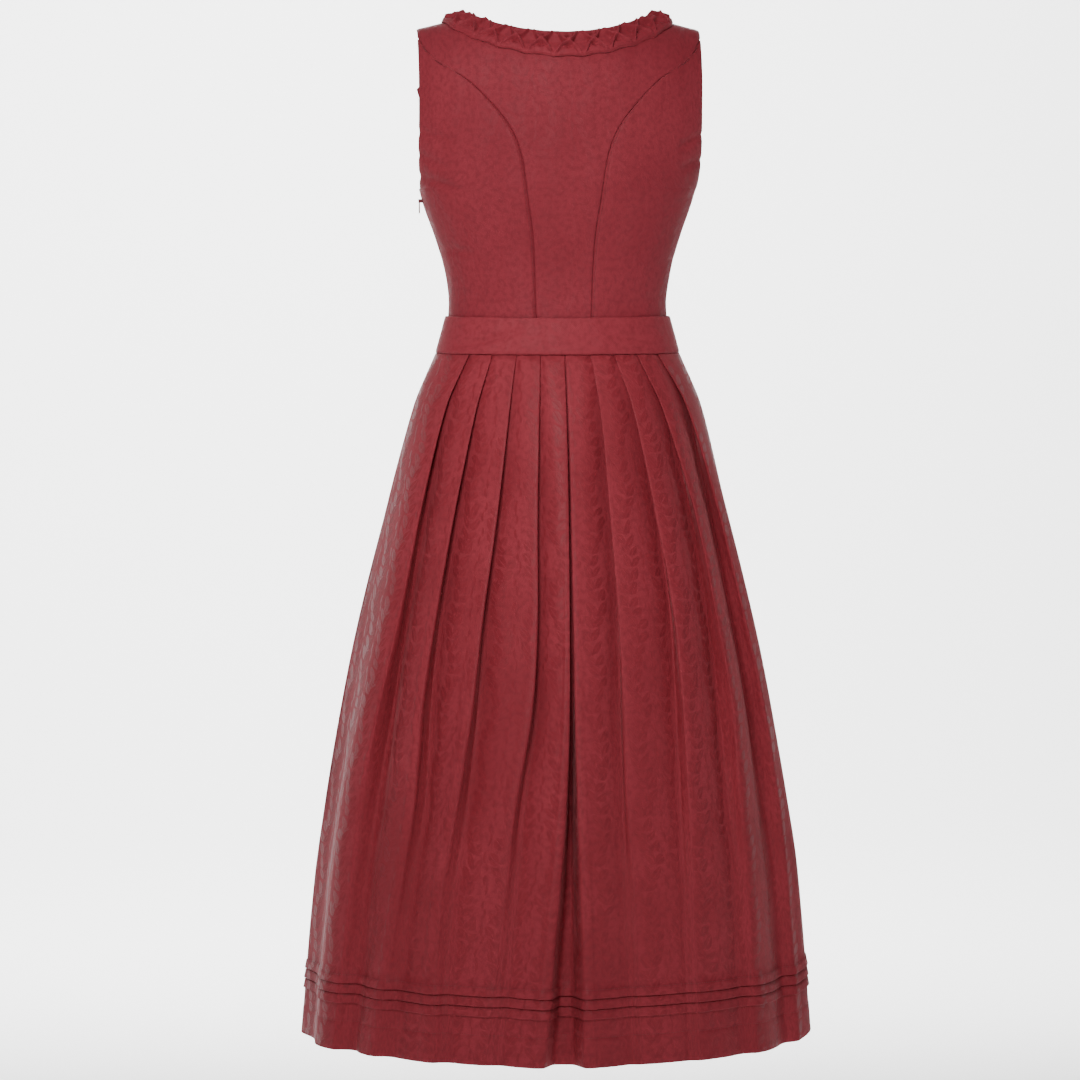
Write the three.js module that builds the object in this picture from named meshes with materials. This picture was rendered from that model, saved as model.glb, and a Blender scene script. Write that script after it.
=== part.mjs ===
// A midi dirndl dress in the shape that it takes when it is worn: a princess-seamed bodice with a ruched
// neck trim, a waistband, a pleated skirt with three tucks above the hem, and a concealed zip in the left
// side seam. Millimetres. The origin lies between the two shoulder seams. X runs to the wearer's left, Y to
// the back, Z up.
import * as THREE from "three";

// Cloth walls and the space between pieces
const BODICE_WALL = 1.6;
const SKIRT_WALL = 1.0;
const BAND_WALL = 3.2;
const BAND_CLEARANCE = 0.6; // from the bodice, whose panels are flatter between their points
const BAND_STEPS = 28;
const BAND_LEVELS = [0, 1 / 3, 2 / 3, 1];
const SEAM_GAP = 0.3;
const PANEL_INSET = 0.18; // from a panel's seam line to its edge

// Heights
const ROLL_START = -90; // above this the bodice rolls over to the shoulder
const UNDERARM = -191;
const ARMHOLE_WIDEST = -100;
const BODICE_BOTTOM = -339;
const BAND_TOP = -333;
const BAND_BOTTOM = -374.2;
const SKIRT_TOP = -374.5;
const HEM = -1140;

// Neck and shoulders
const NECK_HALF = 100;
const SHOULDER_HALF = 158.6;
const NECK_POINT_HEIGHT = 2;
const SHOULDER_SLOPE = 0.26;
const ARMHOLE_SPREAD = 22; // degrees that the armhole edge stays short of the side
const EDGE_FALL = 4; // power by which the cloth falls in to the armhole edge
const PLACE_STEPS = 4;

// The form inside the dress: half width, depth behind and in front, and how square the front and back are
const FORM = [
  { z: -374.5, half: 134.0, back: 92.0, front: 84.0, backSquare: 1, frontSquare: 1 },
  { z: -339.0, half: 124.2, back: 84.5, front: 78.5, backSquare: 1, frontSquare: 1 },
  { z: -333.0, half: 123.0, back: 83.5, front: 78.0, backSquare: 1, frontSquare: 1 },
  { z: -313.0, half: 122.6, back: 82.0, front: 79.5, backSquare: 0.96, frontSquare: 0.95 },
  { z: -290.0, half: 125.4, back: 82.5, front: 85.0, backSquare: 0.88, frontSquare: 0.86 },
  { z: -265.0, half: 130.6, back: 84.5, front: 94.0, backSquare: 0.87, frontSquare: 0.8 },
  { z: -240.0, half: 138.4, back: 88.5, front: 105.0, backSquare: 0.86, frontSquare: 0.74 },
  { z: -215.0, half: 147.6, back: 92.5, front: 113.0, backSquare: 0.85, frontSquare: 0.7 },
  { z: -191.0, half: 155.0, back: 96.0, front: 114.0, backSquare: 0.85, frontSquare: 0.7 },
  { z: -178.0, half: 157.0, back: 97.0, front: 111.0, backSquare: 0.85, frontSquare: 0.72 },
  { z: -150.0, half: 158.6, back: 98.0, front: 104.0, backSquare: 0.86, frontSquare: 0.78 },
  { z: -120.0, half: 158.6, back: 97.0, front: 95.0, backSquare: 0.88, frontSquare: 0.84 },
  { z: -90.0, half: 158.6, back: 95.0, front: 88.0, backSquare: 0.96, frontSquare: 0.95 },
];

// The two halves of the bodice. neckDepth is the height of the neckline at its middle, armholeDepth is how
// far the armhole edge lies from the shoulder line, and armholeInset is how much it narrows the half.
const BACK = {
  sign: 1,
  depth: "back",
  square: "backSquare",
  armholeDepth: 44,
  armholeInset: 0,
  neckDepth: -22,
  neckPower: 2,
  levels: [-339, -333, -315, -290, -265, -240, -215, -191, -187, -178, -150, -120, -90, -70],
  upper: [0.3, 0.55, 0.8, 1],
  seamSteps: 3,
  seam: [
    { z: -339, x: 30.5 },
    { z: -250, x: 34 },
    { z: -205, x: 40 },
    { z: -150, x: 49 },
    { z: -120, x: 62 },
    { z: -90, x: 86 },
    { z: -70, x: 107 },
    { z: -53, x: 129 },
    { z: -38, x: 149 },
    { z: -24.4, x: 157.4 },
  ],
};
const FRONT = {
  sign: -1,
  depth: "front",
  square: "frontSquare",
  armholeDepth: 34,
  armholeInset: 8,
  neckDepth: -165,
  neckPower: 2.6,
  levels: [-339, -333, -315, -290, -265, -240, -215, -191, -187, -178],
  upper: [0.2, 0.4, 0.54, 0.6, 0.8, 1],
  seamSteps: 4,
  seam: [
    { z: -339, x: 52 },
    { z: -290, x: 60 },
    { z: -250, x: 74 },
    { z: -215, x: 86 },
    { z: -191, x: 93 },
    { z: -155, x: 106 },
    { z: -120, x: 132 },
    { z: -95, x: 151 },
    { z: -79, x: 157.4 },
  ],
};

// Columns of a centre panel as shares of the way to its princess seam, with the neck point at NECK_SHARE
const NECK_SHARE = 0.44;
const CENTRE_COLUMNS = [0, 0.15, 0.29, 0.38, NECK_SHARE, 0.7, 1];
const SIDE_COLUMNS = [0, 0.3, 0.58, 0.8, 0.93, 1];

// The skirt: the ring that its lowest layer follows, how far a pleat overlaps and how high its fold stands
const SKIRT = [
  { z: -374.5, half: 134.3, back: 92.3, front: 84.3, overlap: 17, height: 3.2, crown: 0.93, ridge: 0 },
  { z: -386, half: 139, back: 99, front: 90, overlap: 16.5, height: 3.6, crown: 0.93, ridge: 0 },
  { z: -403, half: 146, back: 107, front: 96, overlap: 16, height: 4.4, crown: 0.92, ridge: 0 },
  { z: -430, half: 156, back: 118, front: 105, overlap: 14.5, height: 5.6, crown: 0.88, ridge: 0 },
  { z: -482, half: 169.5, back: 134, front: 119, overlap: 12.5, height: 7.5, crown: 0.84, ridge: 0.1 },
  { z: -560, half: 188, back: 153, front: 138, overlap: 9.5, height: 10, crown: 0.8, ridge: 0.3 },
  { z: -640, half: 207, back: 171, front: 156, overlap: 6, height: 12, crown: 0.74, ridge: 0.5 },
  { z: -720, half: 224, back: 189, front: 174, overlap: 2.5, height: 14, crown: 0.7, ridge: 0.65 },
  { z: -800, half: 239, back: 206, front: 191, overlap: -1.5, height: 15, crown: 0.66, ridge: 0.8 },
  { z: -880, half: 252, back: 221, front: 206, overlap: -6, height: 15.5, crown: 0.62, ridge: 0.9 },
  { z: -960, half: 264, back: 236, front: 221, overlap: -10, height: 15.5, crown: 0.6, ridge: 1 },
  { z: -1140, half: 280, back: 262, front: 247, overlap: -15, height: 14, crown: 0.6, ridge: 1 },
];
const LAYER_STEP = 1.5; // from the middle of one layer of cloth to the next in a pleat
const UNDER_FOLD = 1.5; // how far before a fold edge the panel beside it has dipped
const PAST_UNDERLAY = 2.5; // how far past the hidden fold the panel above it starts to dip
const PANEL_CROWN = 0.38; // share of a loose panel at which it is still high
const CROWN_REACH = 0.8; // share of the way to its dip that a panel stays high at most
const DIP_ROOM = 0.12; // share of a panel's width between its dip and the next hidden fold
const LOOSE_START = 60; // below the skirt's top the pleats begin to differ in height
const LOOSE_SPAN = 400; // over this height they take on their full difference
const OPENING_SPAN = 3; // overlap at which a fold lies flat, and lack of it at which it is a slope
const CLOSED_VALLEY = 0.4; // share of its valley that a flat pleat has
const SLOPE_FOOT = { over: 0.7, climb: 0.25 }; // the lower and the upper point of an open fold's slope
const SLOPE_HEAD = { over: 0.2, climb: 0.85 };

// Heights of the first eight columns of the fold tables
const FOLD_HEIGHTS = [
  ["waist", -374.5],
  ["hip", -430],
  ["seat", -540],
  ["thigh", -650],
  ["knee", -755],
  ["calf", -865],
  ["shin", -975],
  ["hem", -1140],
];
const FOLD_COLUMNS = [...FOLD_HEIGHTS.map(([name]) => name), "depth", "open", "valley"];
const namedRow = (row) => Object.fromEntries(row.map((value, i) => [FOLD_COLUMNS[i], value]));
const foldTable = (rows) => rows.map(namedRow);

// Fold edges, from the middle outwards: the share of the way from the middle to the side seam at each
// height, how high the fold stands at the hem against the others, how far it opens there, and how deep its
// valley is
const BACK_LEFT_FOLDS = foldTable([
  [0.004, 0.004, 0.004, 0.006, 0.012, 0.026, 0.05, 0.085, 1.1, 0.7, 0.9],
  [0.128, 0.122, 0.118, 0.11, 0.12, 0.165, 0.19, 0.23, 0.75, 0.8, 0.1],
  [0.257, 0.256, 0.268, 0.287, 0.3, 0.331, 0.366, 0.37, 1.0, 1, 0.25],
  [0.397, 0.418, 0.446, 0.46, 0.467, 0.468, 0.5, 0.55, 1.0, 1, 0.3],
  [0.553, 0.6, 0.62, 0.616, 0.636, 0.67, 0.675, 0.7, 1.15, 1, 0.35],
]);
const BACK_RIGHT_FOLDS = foldTable([
  [0.004, 0.004, 0.004, 0.004, 0.002, 0.004, 0.01, 0.014, 1.1, 0.7, 0.9],
  [0.136, 0.146, 0.15, 0.152, 0.15, 0.15, 0.155, 0.16, 0.3, 0.5, 0],
  [0.268, 0.303, 0.334, 0.352, 0.344, 0.335, 0.325, 0.325, 0.55, 0.8, 0.1],
  [0.411, 0.468, 0.53, 0.535, 0.535, 0.522, 0.52, 0.51, 0.95, 1, 0.25],
  [0.575, 0.66, 0.71, 0.714, 0.725, 0.735, 0.73, 0.72, 0.9, 1, 0.3],
]);
const FRONT_LEFT_FOLDS = foldTable([
  [0.004, 0.004, 0.004, 0.006, 0.01, 0.018, 0.032, 0.05, 0.9, 0.7, 0.6],
  [0.13, 0.135, 0.14, 0.142, 0.15, 0.158, 0.17, 0.19, 0.7, 0.8, 0.1],
  [0.262, 0.278, 0.3, 0.312, 0.318, 0.33, 0.345, 0.352, 0.9, 1, 0.25],
  [0.403, 0.432, 0.462, 0.474, 0.486, 0.497, 0.51, 0.53, 1.1, 1, 0.3],
  [0.56, 0.612, 0.65, 0.664, 0.676, 0.69, 0.7, 0.705, 0.9, 1, 0.3],
]);
const FRONT_RIGHT_FOLDS = foldTable([
  [0.004, 0.004, 0.004, 0.006, 0.012, 0.022, 0.036, 0.046, 0.9, 0.7, 0.6],
  [0.13, 0.138, 0.145, 0.156, 0.165, 0.168, 0.176, 0.182, 0.85, 0.8, 0.15],
  [0.262, 0.282, 0.31, 0.325, 0.335, 0.34, 0.344, 0.36, 0.7, 1, 0.15],
  [0.403, 0.44, 0.478, 0.492, 0.496, 0.505, 0.52, 0.535, 1.0, 1, 0.3],
  [0.56, 0.62, 0.662, 0.684, 0.69, 0.7, 0.702, 0.71, 1.1, 1, 0.3],
]);

// The plain flank between the last pleat and the side seam, as shares of its own width: it lies flat at the
// waist, and towards the hem it rolls out or in by the millimetres in the column of its quarter
const FLANK = [
  { share: 0.3, top: 0.95, backLeft: 9, backRight: 9, frontLeft: 9, frontRight: 9 },
  { share: 0.6, top: 0.9, backLeft: -8, backRight: -10, frontLeft: -8, frontRight: 3 },
  { share: 0.82, top: 0.85, backLeft: -3, backRight: -12, frontLeft: -3, frontRight: -5 },
  { share: 1, top: 0.8, backLeft: 2, backRight: -9, frontLeft: 2, frontRight: -9 },
];
const FLANK_HEIGHT = 0.5; // height of a rolled flank against a fold's

// The four quarters of the skirt
const BACK_LEFT = { folds: BACK_LEFT_FOLDS, flank: "backLeft" };
const BACK_RIGHT = { folds: BACK_RIGHT_FOLDS, flank: "backRight" };
const FRONT_LEFT = { folds: FRONT_LEFT_FOLDS, flank: "frontLeft" };
const FRONT_RIGHT = { folds: FRONT_RIGHT_FOLDS, flank: "frontRight" };

// Three tucks above the hem, folded downwards
const TUCK_EDGES = [-1066, -1077, -1088];
const TUCK_RISE = 1.8;
const TUCK_START = -1056;
const TUCK_RETURN = 0.7;
const SKIRT_LEVELS = [SKIRT_TOP, -398, -421, -432, -442, -482, -560, -640, -720, -800, -880, -960];

// The ruched neck trim: motifs round the neckline, and the height of the cloth over a motif
const TRIM_MOTIFS = 30;
const TRIM_WIDTH = 32;
const TRIM_EDGE = 0.5; // from the neckline to the trim
const TRIM_CLEARANCE = 1.3; // from the panels, which are flatter between their points
const TRIM_ACROSS = [0, 0.25, 0.5, 0.75, 1];
const TRIM_HEIGHTS = [
  [5.5, 6.5, 3.0, 6.5, 5.5],
  [4.0, 6.0, 6.5, 6.0, 4.0],
  [2.2, 4.5, 7.5, 4.5, 2.2],
  [4.0, 6.0, 6.5, 6.0, 4.0],
];
const NECK_SAMPLES = 480;
const WALK_STEPS = 6;

// The concealed zip in the left side seam
const ZIP_TOP = -211;
const ZIP_BOTTOM = -440;
const ZIP_HALF_WIDTH = 10;
const ZIP_WALL = 1.2;
const ZIP_CLEARANCE = 1.3; // from the panels, which are flatter between their points
const ZIP_STEPS = 16;
const ZIP_ACROSS = [-1, -0.5, 0, 0.5, 1];
const SLIT_LEVEL = -432;
const SLIT_GAPE = 3;
const SLIDER_SEAM_END = -215;
const SLIDER_GAPE = 0.9;
const PIVOT_HEIGHT = -204;
const PIVOT_OUT = 4; // from the bodice to the pull's pivot
const SLIDER_LENGTH = 4;
const PULL_LENGTH = 14;
const PULL_WALL = 1.2;

const CLOTH_COLOURS = { bodice: 0x89383a, band: 0x923d3f, skirt: 0x7f3234, trim: 0x84363a };

// Reads a column of a table at any height, with a smooth curve through its rows.
function read(table, key, z) {
  const falling = table[0].z > table[1].z;
  const rows = falling ? table : [...table].reverse();
  const last = rows.length - 1;
  if (z >= rows[0].z) return rows[0][key];
  if (z <= rows[last].z) return rows[last][key];
  const i = rows.findIndex((row, k) => k < last && z <= row.z && z >= rows[k + 1].z);
  const span = rows[i + 1].z - rows[i].z;
  const slope = (k) => {
    const a = rows[Math.max(k - 1, 0)];
    const b = rows[Math.min(k + 1, last)];
    return (b[key] - a[key]) / (b.z - a.z);
  };
  const t = (z - rows[i].z) / span;
  const bend = t * t * (3 - 2 * t);
  const leave = t * (1 - t) * (1 - t) * span * slope(i);
  const arrive = t * t * (t - 1) * span * slope(i + 1);
  return rows[i][key] * (1 - bend) + rows[i + 1][key] * bend + leave + arrive;
}

const radians = (degrees) => (degrees * Math.PI) / 180;
const mix = (a, b, t) => a + (b - a) * t;
const clamp = (x, low, high) => Math.min(Math.max(x, low), high);
const signedPower = (x, power) => Math.sign(x) * Math.abs(x) ** power;
const ridgeHeight = (x) => NECK_POINT_HEIGHT + SHOULDER_SLOPE * (NECK_HALF - Math.abs(x));

// How far open the armhole is at a height: 0 at the underarm, 1 at its widest
function armholeShare(z) {
  if (z <= UNDERARM) return 0;
  if (z >= ARMHOLE_WIDEST) return 1;
  const fall = (ARMHOLE_WIDEST - z) / (ARMHOLE_WIDEST - UNDERARM);
  return Math.sqrt(1 - fall * fall);
}

const widestAngle = (z) => radians(90 - ARMHOLE_SPREAD * armholeShare(z));

// Half the form's width, which the armhole takes in on the front
function halfWidth(side, z, rise) {
  const roll = radians(90) * clamp(rise, 0, 1);
  return read(FORM, "half", z) - side.armholeInset * armholeShare(z) * Math.cos(roll);
}

// A point of the form. share runs from 0 in the middle to 1 at the side seam or armhole edge. rise is a
// height below ROLL_START, in millimetres and negative, or the share of the roll over the shoulder, 0 to 1.
function formPoint(side, share, rise) {
  const level = Math.min(ROLL_START + rise, ROLL_START);
  const z = rise > 0 ? ROLL_START : level;
  const widest = widestAngle(z);
  const angle = share * widest;
  const half = halfWidth(side, z, rise);
  const square = read(FORM, side.square, z);
  const edge = side.armholeDepth * armholeShare(z);
  const depth = read(FORM, side.depth, z);
  const spare = depth * signedPower(Math.cos(widest), square) - edge;
  const x = (half * Math.sin(angle)) / Math.sin(widest);
  const y = depth * signedPower(Math.cos(angle), square) - spare * Math.abs(share) ** EDGE_FALL;
  if (rise <= 0) return new THREE.Vector3(x, side.sign * y, z);
  const roll = (rise * Math.PI) / 2;
  const top = ROLL_START + (ridgeHeight(x) - ROLL_START) * Math.sin(roll);
  return new THREE.Vector3(x, side.sign * y * Math.cos(roll), top);
}

// The two directions in which the form runs from a point, for a small step of share and of rise
function formSlopes(side, share, rise) {
  const stepUp = rise > 0 ? 0.001 : 0.1;
  const stepAside = 0.001;
  const aside = formPoint(side, share + stepAside, rise).sub(formPoint(side, share - stepAside, rise));
  const up = formPoint(side, share, rise + stepUp).sub(formPoint(side, share, rise - stepUp));
  return { aside: aside.divideScalar(2 * stepAside), up: up.divideScalar(2 * stepUp) };
}

function formNormal(side, share, rise) {
  const { aside, up } = formSlopes(side, share, rise);
  return aside.cross(up).multiplyScalar(-side.sign).normalize();
}

// The rise of a height at a width x
function riseAt(x, z) {
  if (z <= ROLL_START) return z - ROLL_START;
  const climb = (z - ROLL_START) / (ridgeHeight(x) - ROLL_START);
  return Math.asin(clamp(climb, 0, 1)) / radians(90);
}

// The share at which a width x lies at a height
function shareAt(side, x, z) {
  const level = Math.min(z, ROLL_START);
  const widest = widestAngle(level);
  const sine = (x * Math.sin(widest)) / halfWidth(side, level, riseAt(x, z));
  return Math.asin(clamp(sine, -1, 1)) / widest;
}

// The place at a share and a height. The width there depends on the rise, and the rise on the width.
function placeAt(side, share, z) {
  let rise = Math.min(z - ROLL_START, 0);
  for (let i = 0; i < PLACE_STEPS && z > ROLL_START; i += 1) {
    rise = riseAt(formPoint(side, share, rise).x, z);
  }
  return { share, rise };
}

// The share at which the princess seam lies. It ends on the armhole edge, which is at share 1 above it.
function seamShare(side, z) {
  const end = side.seam[side.seam.length - 1];
  return z > end.z ? 1 : shareAt(side, read(side.seam, "x", z), z);
}

// A closed wall from a grid of outer points and a grid of inner ones. Rows and columns both end in a rim,
// but columns wrap round where the wall is a closed ring.
function wall(outer, inner, ring = false) {
  const rows = outer.length;
  const columns = outer[0].length;
  const points = [...outer.flat(), ...inner.flat()];
  const faces = [];
  const out = (r, c) => r * columns + (c % columns);
  const into = (r, c) => rows * columns + out(r, c);
  const quad = (a, b, c, d) => faces.push(a, b, c, a, c, d);
  const across = ring ? columns : columns - 1;
  for (let r = 0; r < rows - 1; r += 1) {
    for (let c = 0; c < across; c += 1) {
      quad(out(r, c), out(r, c + 1), out(r + 1, c + 1), out(r + 1, c));
      quad(into(r, c), into(r + 1, c), into(r + 1, c + 1), into(r, c + 1));
    }
  }
  for (let c = 0; c < across; c += 1) {
    quad(into(0, c), into(0, c + 1), out(0, c + 1), out(0, c));
    quad(out(rows - 1, c), out(rows - 1, c + 1), into(rows - 1, c + 1), into(rows - 1, c));
  }
  for (let r = 0; r < rows - 1 && !ring; r += 1) {
    quad(into(r, 0), out(r, 0), out(r + 1, 0), into(r + 1, 0));
    quad(out(r, columns - 1), into(r, columns - 1), into(r + 1, columns - 1), out(r + 1, columns - 1));
  }
  return closedGeometry(points, faces);
}

// Turns the faces outwards if the volume that they enclose comes out negative.
function closedGeometry(points, faces) {
  let volume = 0;
  for (let i = 0; i < faces.length; i += 3) {
    const [a, b, c] = [points[faces[i]], points[faces[i + 1]], points[faces[i + 2]]];
    volume += a.dot(b.clone().cross(c));
  }
  if (volume < 0) faces.reverse();
  const geometry = new THREE.BufferGeometry().setFromPoints(points);
  geometry.setIndex(faces);
  geometry.computeVertexNormals();
  return geometry;
}

// Moves the outermost points of a grid towards their neighbours, so that two panels stay apart at a seam.
// The last column can have an amount of its own in each row.
function inset(grids, amount, lastAmount = () => amount) {
  const guide = grids[0];
  const rows = guide.length;
  const columns = guide[0].length;
  const moves = guide.map((row, r) =>
    row.map((point, c) => {
      const move = new THREE.Vector3();
      const towards = (other, distance) => move.add(other.clone().sub(point).setLength(distance));
      if (r === 0) towards(guide[1][c], amount);
      if (r === rows - 1) towards(guide[rows - 2][c], amount);
      if (c === 0) towards(row[1], amount);
      if (c === columns - 1) towards(row[columns - 2], lastAmount(r));
      return move;
    }),
  );
  grids.forEach((grid) => grid.forEach((row, r) => row.forEach((point, c) => point.add(moves[r][c]))));
}

// A bodice panel: the form's surface outside, and the cloth's thickness inside it
function panel(side, cells, lastAmount) {
  const outer = cells.map((row) => row.map(({ share, rise }) => formPoint(side, share, rise)));
  const inner = cells.map((row, r) =>
    row.map(({ share, rise }, c) =>
      outer[r][c].clone().addScaledVector(formNormal(side, share, rise), -BODICE_WALL),
    ),
  );
  inset([outer, inner], PANEL_INSET, lastAmount);
  return wall(outer, inner);
}

// The width and height at which a column of a centre panel ends: on the neckline, or on the shoulder seam
function panelTop(side, column) {
  const away = Math.abs(column);
  if (away < NECK_SHARE) {
    const x = NECK_HALF * Math.sin((column / NECK_SHARE) * radians(90));
    return { x, z: necklineHeight(side, x) };
  }
  const reach = (away - NECK_SHARE) / (1 - NECK_SHARE);
  const x = Math.sign(column) * mix(NECK_HALF, SHOULDER_HALF, reach);
  return { x, z: ridgeHeight(x) };
}

function necklineHeight(side, x) {
  return mix(side.neckDepth, NECK_POINT_HEIGHT, Math.abs(x / NECK_HALF) ** side.neckPower);
}

function centrePanel(side) {
  const columns = [...CENTRE_COLUMNS.slice(1).reverse().map((share) => -share), ...CENTRE_COLUMNS];
  const start = side.levels[side.levels.length - 1];
  const lowerRow = (z) => columns.map((column) => placeAt(side, column * seamShare(side, z), z));
  const upper = side.upper.map((climb) =>
    columns.map((column) => {
      const top = panelTop(side, column);
      const z = mix(start, top.z, climb);
      const atSeam = column * seamShare(side, z);
      if (Math.abs(column) === 1) return placeAt(side, atSeam, z);
      return placeAt(side, mix(atSeam, shareAt(side, top.x, top.z), climb), z);
    }),
  );
  return panel(side, [...side.levels.map(lowerRow), ...upper]);
}

// The heights at which the princess seam has a point, which both panels beside it share
function seamLevels(side) {
  const start = side.levels[side.levels.length - 1];
  const tip = ridgeHeight(SHOULDER_HALF);
  return [...side.levels, ...side.upper.slice(0, side.seamSteps).map((climb) => mix(start, tip, climb))];
}

// At the slider the left side seam stands open enough for its stem.
function sidePanel(side, hand) {
  const levels = seamLevels(side);
  const atSlider = (z) => hand > 0 && z <= UNDERARM && z >= SLIDER_SEAM_END;
  const cells = levels.map((z) =>
    SIDE_COLUMNS.map((column) => placeAt(side, hand * mix(seamShare(side, z), 1, column), z)),
  );
  return panel(side, cells, (r) => (atSlider(levels[r]) ? SLIDER_GAPE : PANEL_INSET));
}

// The waistband lies on the bodice and is open at the left side, where the zip passes.
function waistband() {
  const around = [];
  for (let i = 0; i <= BAND_STEPS; i += 1) around.push({ side: BACK, share: 1 - (2 * i) / BAND_STEPS });
  for (let i = 1; i <= BAND_STEPS; i += 1) around.push({ side: FRONT, share: (2 * i) / BAND_STEPS - 1 });
  const levels = BAND_LEVELS.map((share) => mix(BAND_BOTTOM, BAND_TOP, share));
  const layer = (out) =>
    levels.map((z) =>
      around.map(({ side, share }) => {
        const rise = z - ROLL_START;
        const point = formPoint(side, share, rise).addScaledVector(formNormal(side, share, rise), out);
        point.z = z;
        return point;
      }),
    );
  const outer = layer(BAND_CLEARANCE + BAND_WALL);
  const inner = layer(BAND_CLEARANCE);
  inset([outer, inner], SEAM_GAP);
  outer.concat(inner).forEach((row, r) => row.forEach((point) => (point.z = levels[r % levels.length])));
  return wall(outer, inner);
}

// A point of the skirt's ring at a share of the way to the side seam, and r outside it
function skirtPoint(side, share, r, z) {
  const angle = share * radians(90);
  const half = read(SKIRT, "half", z);
  const depth = read(SKIRT, side.depth, z);
  const normal = new THREE.Vector2(Math.sin(angle) / half, Math.cos(angle) / depth).normalize();
  const x = half * Math.sin(angle) + normal.x * r;
  const y = depth * Math.cos(angle) + normal.y * r;
  return new THREE.Vector2(x, side.sign * y);
}

// Millimetres of the skirt's ring in one unit of share
function ringLength(side, share, z) {
  const angle = share * radians(90);
  const half = read(SKIRT, "half", z);
  const depth = read(SKIRT, side.depth, z);
  return radians(90) * Math.hypot(half * Math.cos(angle), depth * Math.sin(angle));
}

function foldShare(fold, z) {
  const rows = FOLD_HEIGHTS.map(([name, height]) => ({ z: height, share: fold[name] }));
  return read(rows, "share", z);
}

// The pleats of a quarter of the skirt, from the middle to the side seam: the middle line of the cloth as
// share and height over the ring. Each fold edge faces the middle, and its cloth turns back under it while
// the overlap is positive, or falls to the next panel as a soft slope where it is negative.
function quarterSection(side, quarter, z) {
  const { folds } = quarter;
  const overlap = read(SKIRT, "overlap", z);
  const height = read(SKIRT, "height", z);
  const crown = read(SKIRT, "crown", z);
  const looseness = clamp((SKIRT_TOP - LOOSE_START - z) / LOOSE_SPAN, 0, 1);
  const folded = clamp((overlap + OPENING_SPAN) / (2 * OPENING_SPAN), 0, 1);
  const foldTop = (fold) => height * mix(1, fold.depth, looseness);
  const line = [];
  folds.forEach((fold, k) => {
    const share = foldShare(fold, z);
    const unit = ringLength(side, share, z);
    const over = overlap > 0 ? overlap : overlap * fold.open;
    const top = foldTop(fold);
    const valley = -height * fold.valley * looseness * mix(1, CLOSED_VALLEY, folded);
    const hidden = share + over / unit;
    if (k > 0) {
      const before = foldShare(folds[k - 1], z);
      const width = share - before;
      const dip = Math.min(share - UNDER_FOLD / unit, hidden - DIP_ROOM * width);
      const crownWidth = Math.max((Math.max(overlap, 0) + PAST_UNDERLAY) / unit, PANEL_CROWN * width);
      const high = Math.min(before + crownWidth, mix(before, dip, CROWN_REACH));
      line.push({ share: high, r: foldTop(folds[k - 1]) * crown });
      line.push({ share: dip, r: valley });
    }
    const foot = { share: share + (SLOPE_FOOT.over * over) / unit, r: mix(valley, top, SLOPE_FOOT.climb) };
    const head = { share: share + (SLOPE_HEAD.over * over) / unit, r: mix(valley, top, SLOPE_HEAD.climb) };
    line.push({ share: hidden, r: valley });
    line.push({ share: mix(foot.share, hidden, folded), r: mix(foot.r, valley + LAYER_STEP, folded) });
    line.push({ share: mix(head.share, share, folded), r: mix(head.r, top - LAYER_STEP, folded) });
    line.push({ share, r: top });
  });
  const last = foldShare(folds[folds.length - 1], z);
  const ridge = read(SKIRT, "ridge", z);
  const lastTop = line[line.length - 1].r;
  FLANK.forEach((row) => {
    const flat = mix(lastTop, height, looseness) * row.top;
    const rolled = height * FLANK_HEIGHT;
    line.push({ share: mix(last, 1, row.share), r: mix(flat, rolled, ridge) + row[quarter.flank] * ridge });
  });
  return line;
}

// The side seam is closed but for a short slit below the left end of the zip.
function sideGap(hand, z) {
  const slit = hand > 0 && Math.abs(z - SLIT_LEVEL) < 1;
  return (slit ? SLIT_GAPE : SEAM_GAP) / 2;
}

// One level of a half skirt from the wearer's right side seam to the left one, as points in plan
function skirtSection(side, leftQuarter, rightQuarter, z) {
  const left = quarterSection(side, leftQuarter, z);
  const right = quarterSection(side, rightQuarter, z).map((cell) => ({ share: -cell.share, r: cell.r }));
  const middle = { share: (left[0].share + right[0].share) / 2, r: (left[0].r + right[0].r) / 2 };
  const cells = [...right.reverse(), middle, ...left];
  cells[0].share += sideGap(-1, z) / ringLength(side, 1, z);
  cells[cells.length - 1].share -= sideGap(1, z) / ringLength(side, 1, z);
  return cells.map((cell) => skirtPoint(side, cell.share, cell.r, z));
}

// Shifts a line in plan sideways, to the right of its run where out is positive, and keeps its corners.
function shiftLine(line, out) {
  const normals = line.slice(1).map((point, i) => {
    const run = point.clone().sub(line[i]).normalize();
    return new THREE.Vector2(run.y, -run.x);
  });
  return line.map((point, i) => {
    const before = normals[Math.max(i - 1, 0)];
    const after = normals[Math.min(i, normals.length - 1)];
    const corner = before.clone().add(after).divideScalar(Math.max(1 + before.dot(after), 0.5));
    return point.clone().addScaledVector(corner, out);
  });
}

function skirtLevels() {
  const tucks = TUCK_EDGES.flatMap((edge) => [
    { z: edge, tuck: TUCK_RISE },
    { z: edge - TUCK_RETURN, tuck: 0 },
  ]);
  const plain = [...SKIRT_LEVELS, TUCK_START].map((z) => ({ z, tuck: 0 }));
  return [...plain, ...tucks, { z: HEM, tuck: 0 }];
}

function halfSkirt(side, leftQuarter, rightQuarter) {
  const lift = (line, z) => line.map((point) => new THREE.Vector3(point.x, point.y, z));
  const outer = [];
  const inner = [];
  skirtLevels().forEach(({ z, tuck }) => {
    const line = skirtSection(side, leftQuarter, rightQuarter, z);
    const outwards = -side.sign;
    outer.push(lift(shiftLine(line, outwards * (SKIRT_WALL / 2 + tuck)), z));
    inner.push(lift(shiftLine(line, (-outwards * SKIRT_WALL) / 2), z));
  });
  return wall(outer, inner);
}

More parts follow.
